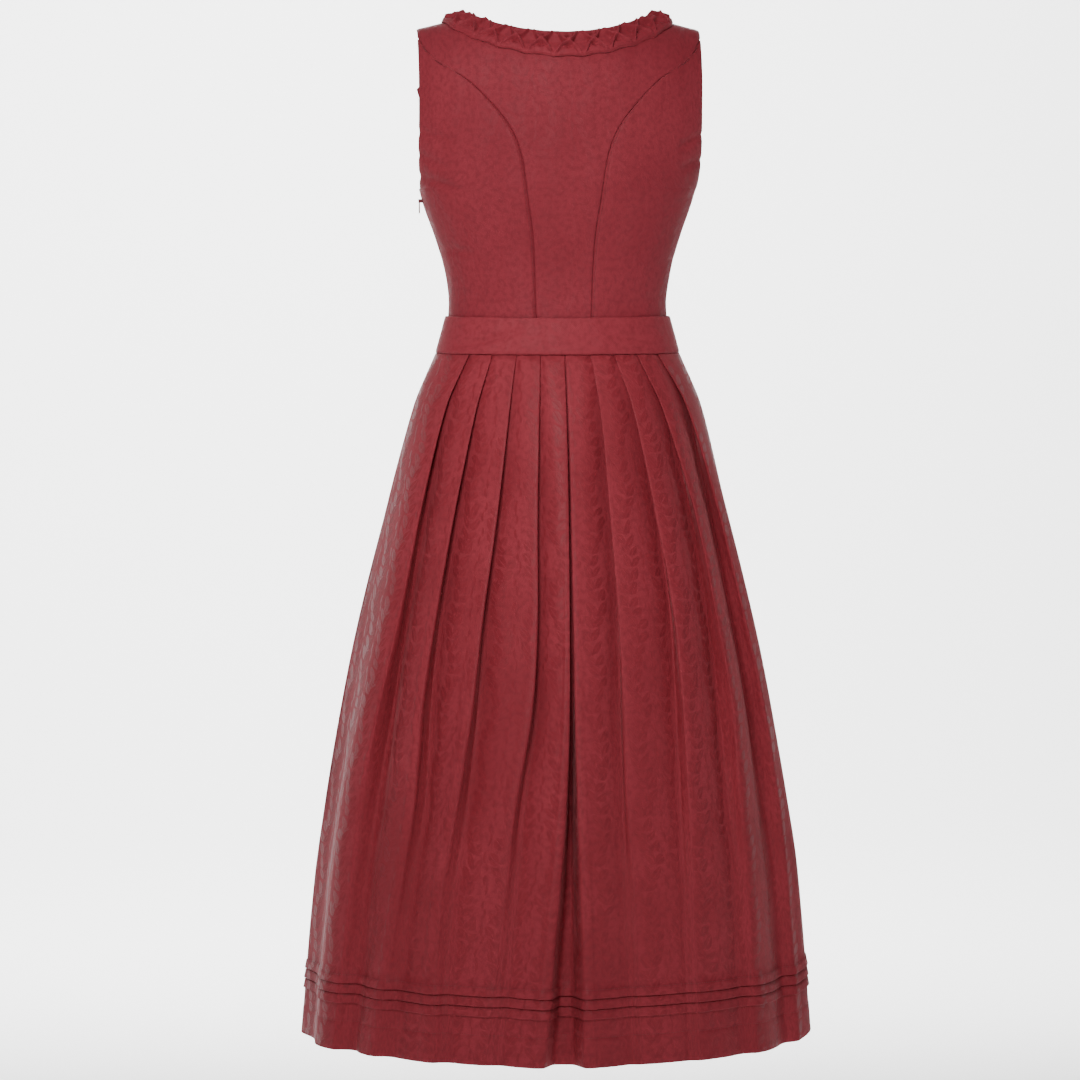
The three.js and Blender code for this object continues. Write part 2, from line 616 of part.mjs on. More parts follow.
// The neckline as one closed loop of places on the form, from the wearer's left shoulder over the back
function necklinePlaces() {
  const half = NECK_SAMPLES / 2;
  const place = (side, turn) => {
    const x = NECK_HALF * Math.cos(turn);
    const z = necklineHeight(side, x);
    return { side, share: shareAt(side, x, z), rise: riseAt(x, z) };
  };
  const places = [];
  for (let i = 0; i < half; i += 1) places.push(place(BACK, (Math.PI * i) / half));
  for (let i = 0; i < half; i += 1) places.push(place(FRONT, Math.PI - (Math.PI * i) / half));
  return places;
}

// Walks over the form for a distance, in the direction given.
function walk(place, direction, distance) {
  let { share, rise } = place;
  for (let i = 0; i < WALK_STEPS; i += 1) {
    const { aside, up } = formSlopes(place.side, share, rise);
    const [aa, au, uu] = [aside.dot(aside), aside.dot(up), up.dot(up)];
    const [wantAside, wantUp] = [aside.dot(direction), up.dot(direction)];
    const scale = distance / WALK_STEPS / (aa * uu - au * au);
    share += (wantAside * uu - wantUp * au) * scale;
    rise += (wantUp * aa - wantAside * au) * scale;
  }
  return { side: place.side, share, rise };
}

function neckTrim() {
  const places = necklinePlaces();
  const points = places.map(({ side, share, rise }) => formPoint(side, share, rise));
  const count = points.length;
  const after = (i) => points[(i + 1) % count];
  const before = (i) => points[(i + count - 1) % count];
  const lengths = [0];
  points.forEach((point, i) => lengths.push(lengths[i] + point.distanceTo(after(i))));
  const columns = TRIM_MOTIFS * TRIM_HEIGHTS.length;
  const picks = [];
  for (let c = 0; c < columns; c += 1) {
    const target = (lengths[count] * c) / columns;
    picks.push(lengths.findIndex((length) => length > target) - 1);
  }
  const across = TRIM_ACROSS.map((share, a) =>
    picks.map((pick, c) => {
      const place = places[pick];
      const run = after(pick).clone().sub(before(pick)).normalize();
      const normal = formNormal(place.side, place.share, place.rise);
      const away = run.clone().cross(normal).normalize();
      const there = walk(place, away, TRIM_EDGE + share * TRIM_WIDTH);
      const base = formPoint(there.side, there.share, there.rise);
      const out = formNormal(there.side, there.share, there.rise);
      const height = TRIM_HEIGHTS[c % TRIM_HEIGHTS.length][a];
      return {
        inner: base.clone().addScaledVector(out, TRIM_CLEARANCE),
        outer: base.clone().addScaledVector(out, TRIM_CLEARANCE + height),
      };
    }),
  );
  const outer = across.map((row) => row.map((cell) => cell.outer));
  const inner = across.map((row) => row.map((cell) => cell.inner));
  return wall(outer, inner, true);
}

// The zip's tape and coil: one strip just inside the left side seam, down to the slit below the waistband
function sideZip() {
  const rows = { outer: [], inner: [] };
  for (let i = 0; i <= ZIP_STEPS; i += 1) {
    const z = mix(ZIP_TOP - SEAM_GAP, ZIP_BOTTOM, i / ZIP_STEPS);
    const onSkirt = z < SKIRT_TOP;
    const table = onSkirt ? SKIRT : FORM;
    const inside = (onSkirt ? SKIRT_WALL / 2 : BODICE_WALL) + ZIP_CLEARANCE;
    const half = read(table, "half", z) - inside;
    const depth = Math.min(read(table, "back", z), read(table, "front", z)) - inside;
    const strip = (into) =>
      ZIP_ACROSS.map((k) => {
        const y = k * ZIP_HALF_WIDTH;
        return new THREE.Vector3(half * Math.sqrt(1 - (y / depth) ** 2) - into, y, z);
      });
    rows.outer.push(strip(0));
    rows.inner.push(strip(ZIP_WALL));
  }
  return wall(rows.outer, rows.inner);
}

const seamX = read(FORM, "half", PIVOT_HEIGHT);
const pivot = new THREE.Vector3(seamX + PIVOT_OUT, 0, PIVOT_HEIGHT);

// The slider in plan: a body behind the seam, and in front of it two cheeks that hold the pull
function slider() {
  const bodyHalf = 3.5;
  const bodyBack = -5.6;
  const bodyFront = -3;
  const cheekIn = 1.5;
  const cheekOut = 2.3;
  const bridgeBack = PIVOT_OUT - 2.6;
  const bridgeFront = PIVOT_OUT - 1.7;
  const tip = PIVOT_OUT + 1;
  const stemHalf = SEAM_GAP;
  const half = [
    [bodyBack, bodyHalf],
    [bodyFront, bodyHalf],
    [bodyFront, stemHalf],
    [bridgeBack, stemHalf],
    [bridgeBack, cheekOut],
    [tip, cheekOut],
    [tip, cheekIn],
    [bridgeFront, cheekIn],
  ];
  const mirrored = half.map(([x, y]) => [x, -y]).reverse();
  const shape = new THREE.Shape([...half, ...mirrored].map(([x, y]) => new THREE.Vector2(x, y)));
  return new THREE.ExtrudeGeometry(shape, { depth: SLIDER_LENGTH, bevelEnabled: false });
}

// The pull: a flat tab with a narrow eye between the slider's cheeks and a rounded end
function pull() {
  const eyeHalf = 1.2;
  const eyeTop = 0.6;
  const shoulder = -SLIDER_LENGTH / 2 - 0.6;
  const waistHalf = 1.8;
  const endHalf = 3.2;
  const shape = new THREE.Shape();
  shape.moveTo(-eyeHalf, eyeTop);
  shape.lineTo(-eyeHalf, shoulder);
  shape.lineTo(-waistHalf, shoulder);
  shape.lineTo(-endHalf, endHalf - PULL_LENGTH);
  shape.absarc(0, endHalf - PULL_LENGTH, endHalf, Math.PI, 2 * Math.PI, false);
  shape.lineTo(waistHalf, shoulder);
  shape.lineTo(eyeHalf, shoulder);
  shape.lineTo(eyeHalf, eyeTop);
  const settings = { depth: PULL_WALL, bevelEnabled: false, curveSegments: 8 };
  const geometry = new THREE.ExtrudeGeometry(shape, settings);
  const facingOut = new THREE.Matrix4().makeBasis(
    new THREE.Vector3(0, 1, 0),
    new THREE.Vector3(0, 0, 1),
    new THREE.Vector3(1, 0, 0),
  );
  return geometry.translate(0, 0, -PULL_WALL / 2).applyMatrix4(facingOut);
}

function cloth(colour) {
  return new THREE.MeshStandardMaterial({ color: colour, roughness: 0.72, side: THREE.DoubleSide });
}

function named(name, geometry, material) {
  const mesh = new THREE.Mesh(geometry, material);
  mesh.name = name;
  return mesh;
}

function zipPieces() {
  const painted = new THREE.MeshStandardMaterial({ color: 0x6b2a2d, roughness: 0.45, metalness: 0.3 });
  const tape = new THREE.MeshStandardMaterial({ color: 0x5e2528, roughness: 0.8, metalness: 0 });
  const body = named("zip_slider", slider(), painted);
  body.position.set(seamX, 0, PIVOT_HEIGHT - SLIDER_LENGTH / 2);
  const tab = named("zip_pull", pull(), painted);
  tab.position.copy(pivot);
  return [named("side_zip", sideZip(), tape), body, tab];
}

const dress = new THREE.Group();
const bodiceCloth = cloth(CLOTH_COLOURS.bodice);
const skirtCloth = cloth(CLOTH_COLOURS.skirt);
dress.add(
  named("back_centre", centrePanel(BACK), bodiceCloth),
  named("back_side_left", sidePanel(BACK, 1), bodiceCloth),
  named("back_side_right", sidePanel(BACK, -1), bodiceCloth),
  named("front_centre", centrePanel(FRONT), bodiceCloth),
  named("front_side_left", sidePanel(FRONT, 1), bodiceCloth),
  named("front_side_right", sidePanel(FRONT, -1), bodiceCloth),
  named("waistband", waistband(), cloth(CLOTH_COLOURS.band)),
  named("skirt_back", halfSkirt(BACK, BACK_LEFT, BACK_RIGHT), skirtCloth),
  named("skirt_front", halfSkirt(FRONT, FRONT_LEFT, FRONT_RIGHT), skirtCloth),
  named("neck_trim", neckTrim(), cloth(CLOTH_COLOURS.trim)),
  ...zipPieces(),
);

export default dress;
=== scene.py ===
"""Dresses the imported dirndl: fine cloth on its panels, pleats, tucks, ruched trim, stitches and zip.

Lengths are millimetres in the tables and in the classes, and metres in Blender.
"""

import logging
import math
from dataclasses import dataclass, field
from enum import Enum
from typing import Callable, ClassVar, Optional, Sequence

import bpy
import numpy as np
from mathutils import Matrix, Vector


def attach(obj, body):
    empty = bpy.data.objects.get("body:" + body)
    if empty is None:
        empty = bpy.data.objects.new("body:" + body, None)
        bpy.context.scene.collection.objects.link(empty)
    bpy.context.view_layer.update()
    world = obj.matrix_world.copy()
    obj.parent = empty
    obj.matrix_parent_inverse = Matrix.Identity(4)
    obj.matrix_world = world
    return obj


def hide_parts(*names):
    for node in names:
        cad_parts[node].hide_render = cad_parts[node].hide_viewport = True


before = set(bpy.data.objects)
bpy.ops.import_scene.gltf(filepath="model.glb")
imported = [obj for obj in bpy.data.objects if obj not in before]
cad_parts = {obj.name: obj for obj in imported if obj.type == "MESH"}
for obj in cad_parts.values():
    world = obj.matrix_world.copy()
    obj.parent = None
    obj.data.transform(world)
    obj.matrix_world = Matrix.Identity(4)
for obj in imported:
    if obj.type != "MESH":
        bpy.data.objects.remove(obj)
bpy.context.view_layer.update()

log = logging.getLogger("dirndl")
MM = 0.001
BODY = "garment"
Array = np.ndarray

# Heights of the garment
ROLL_START = -90.0
UNDERARM = -191.0
ARMHOLE_WIDEST = -100.0
BODICE_BOTTOM = -339.0
BAND_TOP = -333.0
BAND_BOTTOM = -374.2
SKIRT_TOP = -374.5
HEM = -1140.0

# Neck and shoulders
NECK_HALF = 100.0
SHOULDER_HALF = 158.6
NECK_POINT_HEIGHT = 2.0
SHOULDER_SLOPE = 0.26
ARMHOLE_SPREAD = 22.0
NECK_SHARE = 0.44
EDGE_FALL = 4.0

FORM_COLUMNS = ("z", "half", "back", "front", "back_square", "front_square")
FORM_ROWS = (
    (-374.5, 134.0, 92.0, 84.0, 1.0, 1.0),
    (-339.0, 124.2, 84.5, 78.5, 1.0, 1.0),
    (-333.0, 123.0, 83.5, 78.0, 1.0, 1.0),
    (-313.0, 122.6, 82.0, 79.5, 0.96, 0.95),
    (-290.0, 125.4, 82.5, 85.0, 0.88, 0.86),
    (-265.0, 130.6, 84.5, 94.0, 0.87, 0.80),
    (-240.0, 138.4, 88.5, 105.0, 0.86, 0.74),
    (-215.0, 147.6, 92.5, 113.0, 0.85, 0.70),
    (-191.0, 155.0, 96.0, 114.0, 0.85, 0.70),
    (-178.0, 157.0, 97.0, 111.0, 0.85, 0.72),
    (-150.0, 158.6, 98.0, 104.0, 0.86, 0.78),
    (-120.0, 158.6, 97.0, 95.0, 0.88, 0.84),
    (-90.0, 158.6, 95.0, 88.0, 0.96, 0.95),
)
BACK_SEAM = (
    (-339, 30.5), (-250, 34), (-205, 40), (-150, 49), (-120, 62),
    (-90, 86), (-70, 107), (-53, 129), (-38, 149), (-24.4, 157.4),
)
FRONT_SEAM = (
    (-339, 52), (-290, 60), (-250, 74), (-215, 86), (-191, 93),
    (-155, 106), (-120, 132), (-95, 151), (-79, 157.4),
)
SKIRT_COLUMNS = ("z", "half", "back", "front", "overlap", "height", "crown", "ridge", "crisp")
SKIRT_ROWS = (
    (-374.5, 134.3, 92.3, 84.3, 17.0, 3.2, 0.95, 0.0, 1.2),
    (-386.0, 139.0, 99.0, 90.0, 16.5, 3.6, 0.95, 0.0, 1.4),
    (-403.0, 146.0, 107.0, 96.0, 16.0, 4.4, 0.93, 0.0, 1.8),
    (-430.0, 156.0, 118.0, 105.0, 14.5, 5.6, 0.90, 0.0, 2.4),
    (-482.0, 169.5, 134.0, 119.0, 12.5, 7.5, 0.86, 0.1, 3.4),
    (-560.0, 188.0, 153.0, 138.0, 9.5, 10.0, 0.82, 0.3, 4.6),
    (-640.0, 207.0, 171.0, 156.0, 6.0, 12.0, 0.76, 0.5, 5.6),
    (-720.0, 224.0, 189.0, 174.0, 2.5, 14.0, 0.72, 0.65, 6.6),
    (-800.0, 239.0, 206.0, 191.0, -1.5, 15.0, 0.68, 0.8, 7.6),
    (-880.0, 252.0, 221.0, 206.0, -6.0, 15.5, 0.64, 0.9, 8.6),
    (-960.0, 264.0, 236.0, 221.0, -10.0, 15.5, 0.62, 1.0, 9.5),
    (-1140.0, 280.0, 262.0, 247.0, -15.0, 14.0, 0.62, 1.0, 10.0),
)
FOLD_HEIGHTS = (-374.5, -430.0, -540.0, -650.0, -755.0, -865.0, -975.0, -1140.0)
LAYER_STEP = 1.5
UNDER_FOLD = 1.5
PAST_UNDERLAY = 2.5
PANEL_CROWN = 0.38
TUCK_EDGES = (-1066.0, -1077.0, -1088.0)
HEM_STITCH = -1108.0


class Hand(Enum):
    """Which side of the wearer a piece lies on."""

    LEFT = 1
    RIGHT = -1

    @property
    def shade(self) -> float:
        """How much of the full depth the cloth dips under the pleats on this side."""
        return 1.0 if self is Hand.LEFT else 1.6


class Thread(Enum):
    """What a row of stitches holds."""

    TUCK = "tuck"
    HEM = "hem"


def ramp(value: Array, start: float, width: float) -> Array:
    """0 up to start, 1 from start + width on, and straight between. A negative width falls the other way."""
    return np.clip((value - start) / width, 0, 1)


def bell(value: Array, middle: float, width: float) -> Array:
    """A round hump of height 1 at the middle."""
    return np.exp(-(((value - middle) / width) ** 2))


def shoulder_line(x: Array) -> Array:
    """The height of the shoulder seam at a width x."""
    return NECK_POINT_HEIGHT + SHOULDER_SLOPE * (NECK_HALF - np.abs(x))


def lengths(grid: Array, axis: int) -> Array:
    """How long each line of a grid of points is along one axis."""
    return np.linalg.norm(np.diff(grid, axis=axis), axis=2).sum(axis)


class Profile:
    """A table of sizes by height, read at any height along a smooth curve through its rows."""

    STEP = 0.5

    def __init__(self, columns: Sequence[str], rows: Sequence[Sequence[float]]) -> None:
        """Samples each column finely once.

        Args:
            columns: the names of the columns, the first of which is the height.
            rows: one row for each height.
        """
        table = np.array(sorted(rows, key=lambda row: row[0]), float)
        heights = table[:, 0]
        self.z = np.arange(heights[0], heights[-1] + self.STEP, self.STEP)
        self.values = {
            name: self.smooth(heights, table[:, index + 1], self.z)
            for index, name in enumerate(columns[1:])
        }

    @staticmethod
    def smooth(heights: Array, values: Array, z: Array) -> Array:
        """Cubic curve through the values, with slopes taken from the neighbouring rows."""
        count = len(heights)
        before = np.maximum(np.arange(count) - 1, 0)
        after = np.minimum(np.arange(count) + 1, count - 1)
        slopes = (values[after] - values[before]) / (heights[after] - heights[before])
        z = np.clip(z, heights[0], heights[-1])
        i = np.clip(np.searchsorted(heights, z, side="right") - 1, 0, count - 2)
        span = heights[i + 1] - heights[i]
        t = (z - heights[i]) / span
        bend = t * t * (3 - 2 * t)
        leave = t * (1 - t) ** 2 * span * slopes[i]
        arrive = t * t * (t - 1) * span * slopes[i + 1]
        return values[i] * (1 - bend) + values[i + 1] * bend + leave + arrive

    def read(self, name: str, z: Array) -> Array:
        """The column's value at heights z."""
        return np.interp(z, self.z, self.values[name])


class SoftNoise:
    """A smooth random surface over two lengths, the same on each run."""

    COUNT = 96

    def __init__(self, seed: int, cell: tuple[float, float]) -> None:
        """Draws the values.

        Args:
            seed: fixes the values.
            cell: the distance between values along each of the two lengths.
        """
        self.values = np.random.RandomState(seed).uniform(-1, 1, (self.COUNT, self.COUNT))
        self.cell = cell

    def at(self, a: Array, b: Array) -> Array:
        """The surface's height, from -1 to 1."""
        x, y = np.broadcast_arrays(np.asarray(a) / self.cell[0], np.asarray(b) / self.cell[1])
        i, j = np.floor(x).astype(int), np.floor(y).astype(int)
        tx, ty = (t * t * (3 - 2 * t) for t in (x - i, y - j))
        i0, i1, j0, j1 = (index % self.COUNT for index in (i, i + 1, j, j + 1))
        low, high = (self.values[i0, j] * (1 - tx) + self.values[i1, j] * tx for j in (j0, j1))
        return low * (1 - ty) + high * ty


@dataclass(frozen=True)
class Crease:
    """A soft trough or ridge in the cloth, between two places given by width and height."""

    start: tuple[float, float]
    end: tuple[float, float]
    depth: float
    width: float
    BLUNTNESS: ClassVar[float] = 1.5
    LEAST: ClassVar[float] = 0.45

    def at(self, a: Array, b: Array) -> Array:
        """How far the cloth moves outwards at places (a, b)."""
        ax, ay = self.start
        run = np.array(self.end) - np.array(self.start)
        length = float(np.hypot(*run))
        along = ((a - ax) * run[0] + (b - ay) * run[1]) / length
        aside = ((a - ax) * run[1] - (b - ay) * run[0]) / length
        middle = np.clip(along / length, 0, 1)
        beyond = np.maximum(np.abs(along - length / 2) - length / 2, 0)
        strength = self.LEAST + (1 - self.LEAST) * np.sin(np.pi * middle)
        distance = np.hypot(aside, beyond * self.BLUNTNESS)
        return -self.depth * strength * bell(distance, 0, self.width)


def placed(name: str, data: bpy.types.ID) -> bpy.types.Object:
    """A new object in the scene, with the given mesh, lamp or camera."""
    made = bpy.data.objects.new(name, data)
    bpy.context.scene.collection.objects.link(made)
    return made


def mesh_object(name: str, points: Array, faces: Array, uvs: Array) -> bpy.types.Object:
    """Makes a smooth mesh object at the origin.

    Args:
        name: the object's name.
        points: vertices in millimetres.
        faces: four vertex numbers a row.
        uvs: the place on the cloth of each face corner, in metres.

    Returns:
        The new object, linked to the scene.
    """
    mesh = bpy.data.meshes.new(name)
    mesh.vertices.add(len(points))
    mesh.vertices.foreach_set("co", (points * MM).astype(np.float32).ravel())
    mesh.loops.add(faces.size)
    mesh.loops.foreach_set("vertex_index", faces.astype(np.int32).ravel())
    mesh.polygons.add(len(faces))
    mesh.polygons.foreach_set("loop_start", np.arange(0, faces.size, 4, dtype=np.int32))
    layer = mesh.uv_layers.new(name="cloth")
    layer.data.foreach_set("uv", uvs.astype(np.float32).ravel())
    mesh.polygons.foreach_set("use_smooth", np.ones(len(faces), bool))
    mesh.update(calc_edges=True)
    mesh.validate()
    return placed(name, mesh)


def corners_at(row: Array, column: Array, steps: Sequence[tuple[int, int]]) -> Array:
    """The grid places of the four corners of faces, as steps from their first corners."""
    return np.stack([np.stack([row + down, column + aside], -1) for down, aside in steps], 1)


def wall(name: str, outer: Array, inner: Array, uv: Array, ring: bool = False) -> bpy.types.Object:
    """A closed wall of cloth between two grids of points.

    Args:
        name: the object's name.
        outer: rows by columns by three, the outer face.
        inner: the same for the inner face.
        uv: places on the cloth in metres, with one more column where the wall is a ring.
        ring: whether the last column joins the first.

    Returns:
        The object.
    """
    rows, columns = outer.shape[:2]
    across = columns if ring else columns - 1
    r, c = (grid.ravel() for grid in np.meshgrid(np.arange(rows - 1), np.arange(across), indexing="ij"))
    front = corners_at(r, c, ((0, 0), (0, 1), (1, 1), (1, 0)))
    edge = np.arange(across)
    first = corners_at(0 * edge, edge, ((0, 0), (0, 1), (0, 1), (0, 0)))
    parts = [
        (front, (0, 0, 0, 0)), (front[:, ::-1], (1, 1, 1, 1)),
        (first, (1, 1, 0, 0)), (first + np.array([rows - 1, 0]), (0, 0, 1, 1)),
    ]
    if not ring:
        step = np.arange(rows - 1)
        start = corners_at(step, 0 * step, ((0, 0), (0, 0), (1, 0), (1, 0)))
        parts += [(start, (1, 0, 0, 1)), (start + np.array([0, columns - 1]), (0, 1, 1, 0))]
    corners = np.concatenate([corner for corner, _ in parts])
    layers = np.concatenate([np.tile(layer, (len(corner), 1)) for corner, layer in parts])
    faces = layers * rows * columns + corners[..., 0] * columns + corners[..., 1] % columns
    points = np.concatenate([outer.reshape(-1, 3), inner.reshape(-1, 3)])
    uvs = uv[corners[..., 0], corners[..., 1]]
    a, b, c, d = (points[faces[:, k]] for k in range(4))
    if (a * (np.cross(b, c) + np.cross(c, d))).sum() < 0:
        faces, uvs = faces[:, ::-1], uvs[:, ::-1]
    return mesh_object(name, points, faces, uvs)


@dataclass(frozen=True)
class Side:
    """The back or the front of the dress."""

    name: str
    sign: int
    armhole_depth: float
    armhole_inset: float
    neck_depth: float
    neck_power: float
    start: float
    seam: Profile

    def armhole(self, z: Array) -> Array:
        """How far open the armhole is at heights z, from 0 at the underarm to 1."""
        fall = ramp(z, ARMHOLE_WIDEST, UNDERARM - ARMHOLE_WIDEST)
        return np.sqrt(1 - fall * fall)

    def widest(self, z: Array) -> Array:
        """The angle at which the form's side or the armhole edge lies."""
        return np.radians(90 - ARMHOLE_SPREAD * self.armhole(z))

    def half(self, z: Array, rise: Array) -> Array:
        """Half the form's width, which the armhole takes in on the front."""
        roll = np.cos(np.clip(rise, 0, 1) * math.pi / 2)
        return FORM.read("half", z) - self.armhole_inset * self.armhole(z) * roll

    def point(self, share: Array, rise: Array) -> Array:
        """Points of the form.

        Args:
            share: from 0 in the middle to 1 at the side seam or armhole edge.
            rise: millimetres below the roll, as a negative number, or the share of the roll over the
                shoulder.

        Returns:
            Points in millimetres, along the last axis.
        """
        share, rise = np.broadcast_arrays(np.asarray(share, float), np.asarray(rise, float))
        z = ROLL_START + np.minimum(rise, 0)
        widest = self.widest(z)
        angle = share * widest
        square = FORM.read(f"{self.name}_square", z)
        edge = self.armhole_depth * self.armhole(z)
        far, flat = (np.sign(part) * np.abs(part) ** square for part in (np.cos(widest), np.cos(angle)))
        depth = FORM.read(self.name, z)
        x = self.half(z, rise) * np.sin(angle) / np.sin(widest)
        y = depth * flat - (depth * far - edge) * np.abs(share) ** EDGE_FALL
        roll = np.clip(rise, 0, 1.2) * math.pi / 2
        top = np.where(rise > 0, ROLL_START + (shoulder_line(x) - ROLL_START) * np.sin(roll), z)
        return np.stack([x, self.sign * y * np.where(rise > 0, np.cos(roll), 1), top], -1)

    def slopes(self, share: Array, rise: Array) -> tuple[Array, Array]:
        """The two directions in which the form runs, for one unit of share and of rise."""
        tiny = 0.001
        step = np.where(np.asarray(rise) > 0, tiny, 100 * tiny)
        aside = (self.point(share + tiny, rise) - self.point(share - tiny, rise)) / (2 * tiny)
        up = (self.point(share, rise + step) - self.point(share, rise - step)) / (2 * step)[..., None]
        return aside, up

    def normal(self, share: Array, rise: Array) -> Array:
        """The form's outward normals."""
        aside, up = self.slopes(share, rise)
        normal = -self.sign * np.cross(aside, up)
        return normal / np.linalg.norm(normal, axis=-1, keepdims=True)

    def _rise_of(self, x: Array, z: Array) -> Array:
        """The rise of height z at a width x."""
        climb = ramp(z, ROLL_START, shoulder_line(x) - ROLL_START)
        return np.where(z <= ROLL_START, z - ROLL_START, np.arcsin(climb) / (math.pi / 2))

    def share_at(self, x: Array, z: Array) -> Array:
        """The share at which a width x lies at height z."""
        level = np.minimum(z, ROLL_START)
        widest = self.widest(level)
        half = self.half(level, self._rise_of(x, z))
        return np.arcsin(np.clip(x * np.sin(widest) / half, -1, 1)) / widest

    def rise_at(self, share: Array, z: Array) -> Array:
        """The rise of height z at a share, found in steps because the width there depends on it."""
        rise = np.minimum(z - ROLL_START, 0)
        for _ in range(4):
            rise = self._rise_of(self.point(share, rise)[..., 0], z)
        return rise

    def seam_share(self, z: Array) -> Array:
        """The share at which the princess seam lies, or 1 above its end."""
        z = np.asarray(z, float)
        return np.where(z > SEAM_ENDS[self.name], 1.0, self.share_at(self.seam.read("x", z), z))


FORM = Profile(FORM_COLUMNS, FORM_ROWS)
SEAM_ENDS = {"back": BACK_SEAM[-1][0] + 0.01, "front": FRONT_SEAM[-1][0] + 0.01}
SKIRT = Profile(SKIRT_COLUMNS, SKIRT_ROWS)
BACK = Side("back", 1, 44.0, 0.0, -22.0, 2.0, -70.0, Profile(("z", "x"), BACK_SEAM))
FRONT = Side("front", -1, 34.0, 8.0, -165.0, 2.6, -178.0, Profile(("z", "x"), FRONT_SEAM))


def linear(colour: tuple[int, int, int]) -> tuple[float, float, float, float]:
    """A display colour, 0 to 255, as linear light."""
    parts = [value / 255 for value in colour]
    return tuple(p / 12.92 if p <= 0.04045 else ((p + 0.055) / 1.055) ** 2.4 for p in parts) + (1.0,)


def writes(operation: str, swapped: bool = False) -> Callable[..., "Value"]:
    """A method that adds one Math node, for a sign of arithmetic."""

    def method(self: "Value", *others: object) -> "Value":
        values = (self, *others)
        return self.nodes.math(operation, *(values[::-1] if swapped else values))

    return method


class Value:
    """A node's output, on which the signs of arithmetic add Math nodes."""

    def __init__(self, nodes: "Nodes", socket: bpy.types.NodeSocket) -> None:
        """Keeps the output, and what writes its tree."""
        self.nodes, self.socket = nodes, socket

    __add__ = __radd__ = writes("ADD")
    __mul__ = __rmul__ = writes("MULTIPLY")
    __sub__, __rsub__ = writes("SUBTRACT"), writes("SUBTRACT", swapped=True)
    __truediv__, __pow__, __mod__ = writes("DIVIDE"), writes("POWER"), writes("FLOORED_MODULO")
    __abs__ = writes("ABSOLUTE")


class Nodes:
    """Writes a node tree: short calls that add a node and return it or its output."""

    def __init__(self, tree: bpy.types.NodeTree) -> None:
        """Keeps the tree."""
        self.tree = tree

    def add(self, kind: str, inputs: Optional[dict] = None, **settings: object) -> bpy.types.Node:
        """Adds a node, sets its properties and then fills its inputs, named or numbered."""
        node = self.tree.nodes.new(kind)
        for name, value in settings.items():
            setattr(node, name, value)
        self.fill(node, inputs or {})
        return node

    def fill(self, node: bpy.types.Node, inputs: dict) -> None:
        """Links each input to an output, or sets it to a plain value."""
        for name, value in inputs.items():
            if isinstance(value, Value):
                value = value.socket
            if isinstance(value, bpy.types.NodeSocket):
                self.tree.links.new(value, node.inputs[name])
            else:
                node.inputs[name].default_value = value

    def math(self, operation: str, *values: object) -> Value:
        """A Math node's output."""
        node = self.add("ShaderNodeMath", dict(enumerate(values)), operation=operation)
        return Value(self, node.outputs[0])

    def step(self, value: Value, low: float, high: float) -> Value:
        """A smooth step from 0 below low to 1 above high."""
        inputs = {"Value": value, "From Min": low, "From Max": high}
        node = self.add("ShaderNodeMapRange", inputs, interpolation_type="SMOOTHSTEP")
        return Value(self, node.outputs["Result"])

    def mix(self, factor: Value, a: object, b: object) -> Value:
        """A mixed colour."""
        return Value(self, self.add("ShaderNodeMix", {0: factor, 6: a, 7: b}, data_type="RGBA").outputs[2])

    def noise(self, vector: object, scale: float, detail: float = 2.0) -> Value:
        """A noise texture's value."""
        inputs = {"Vector": vector, "Scale": scale, "Detail": detail}
        return Value(self, self.add("ShaderNodeTexNoise", inputs).outputs["Fac"])


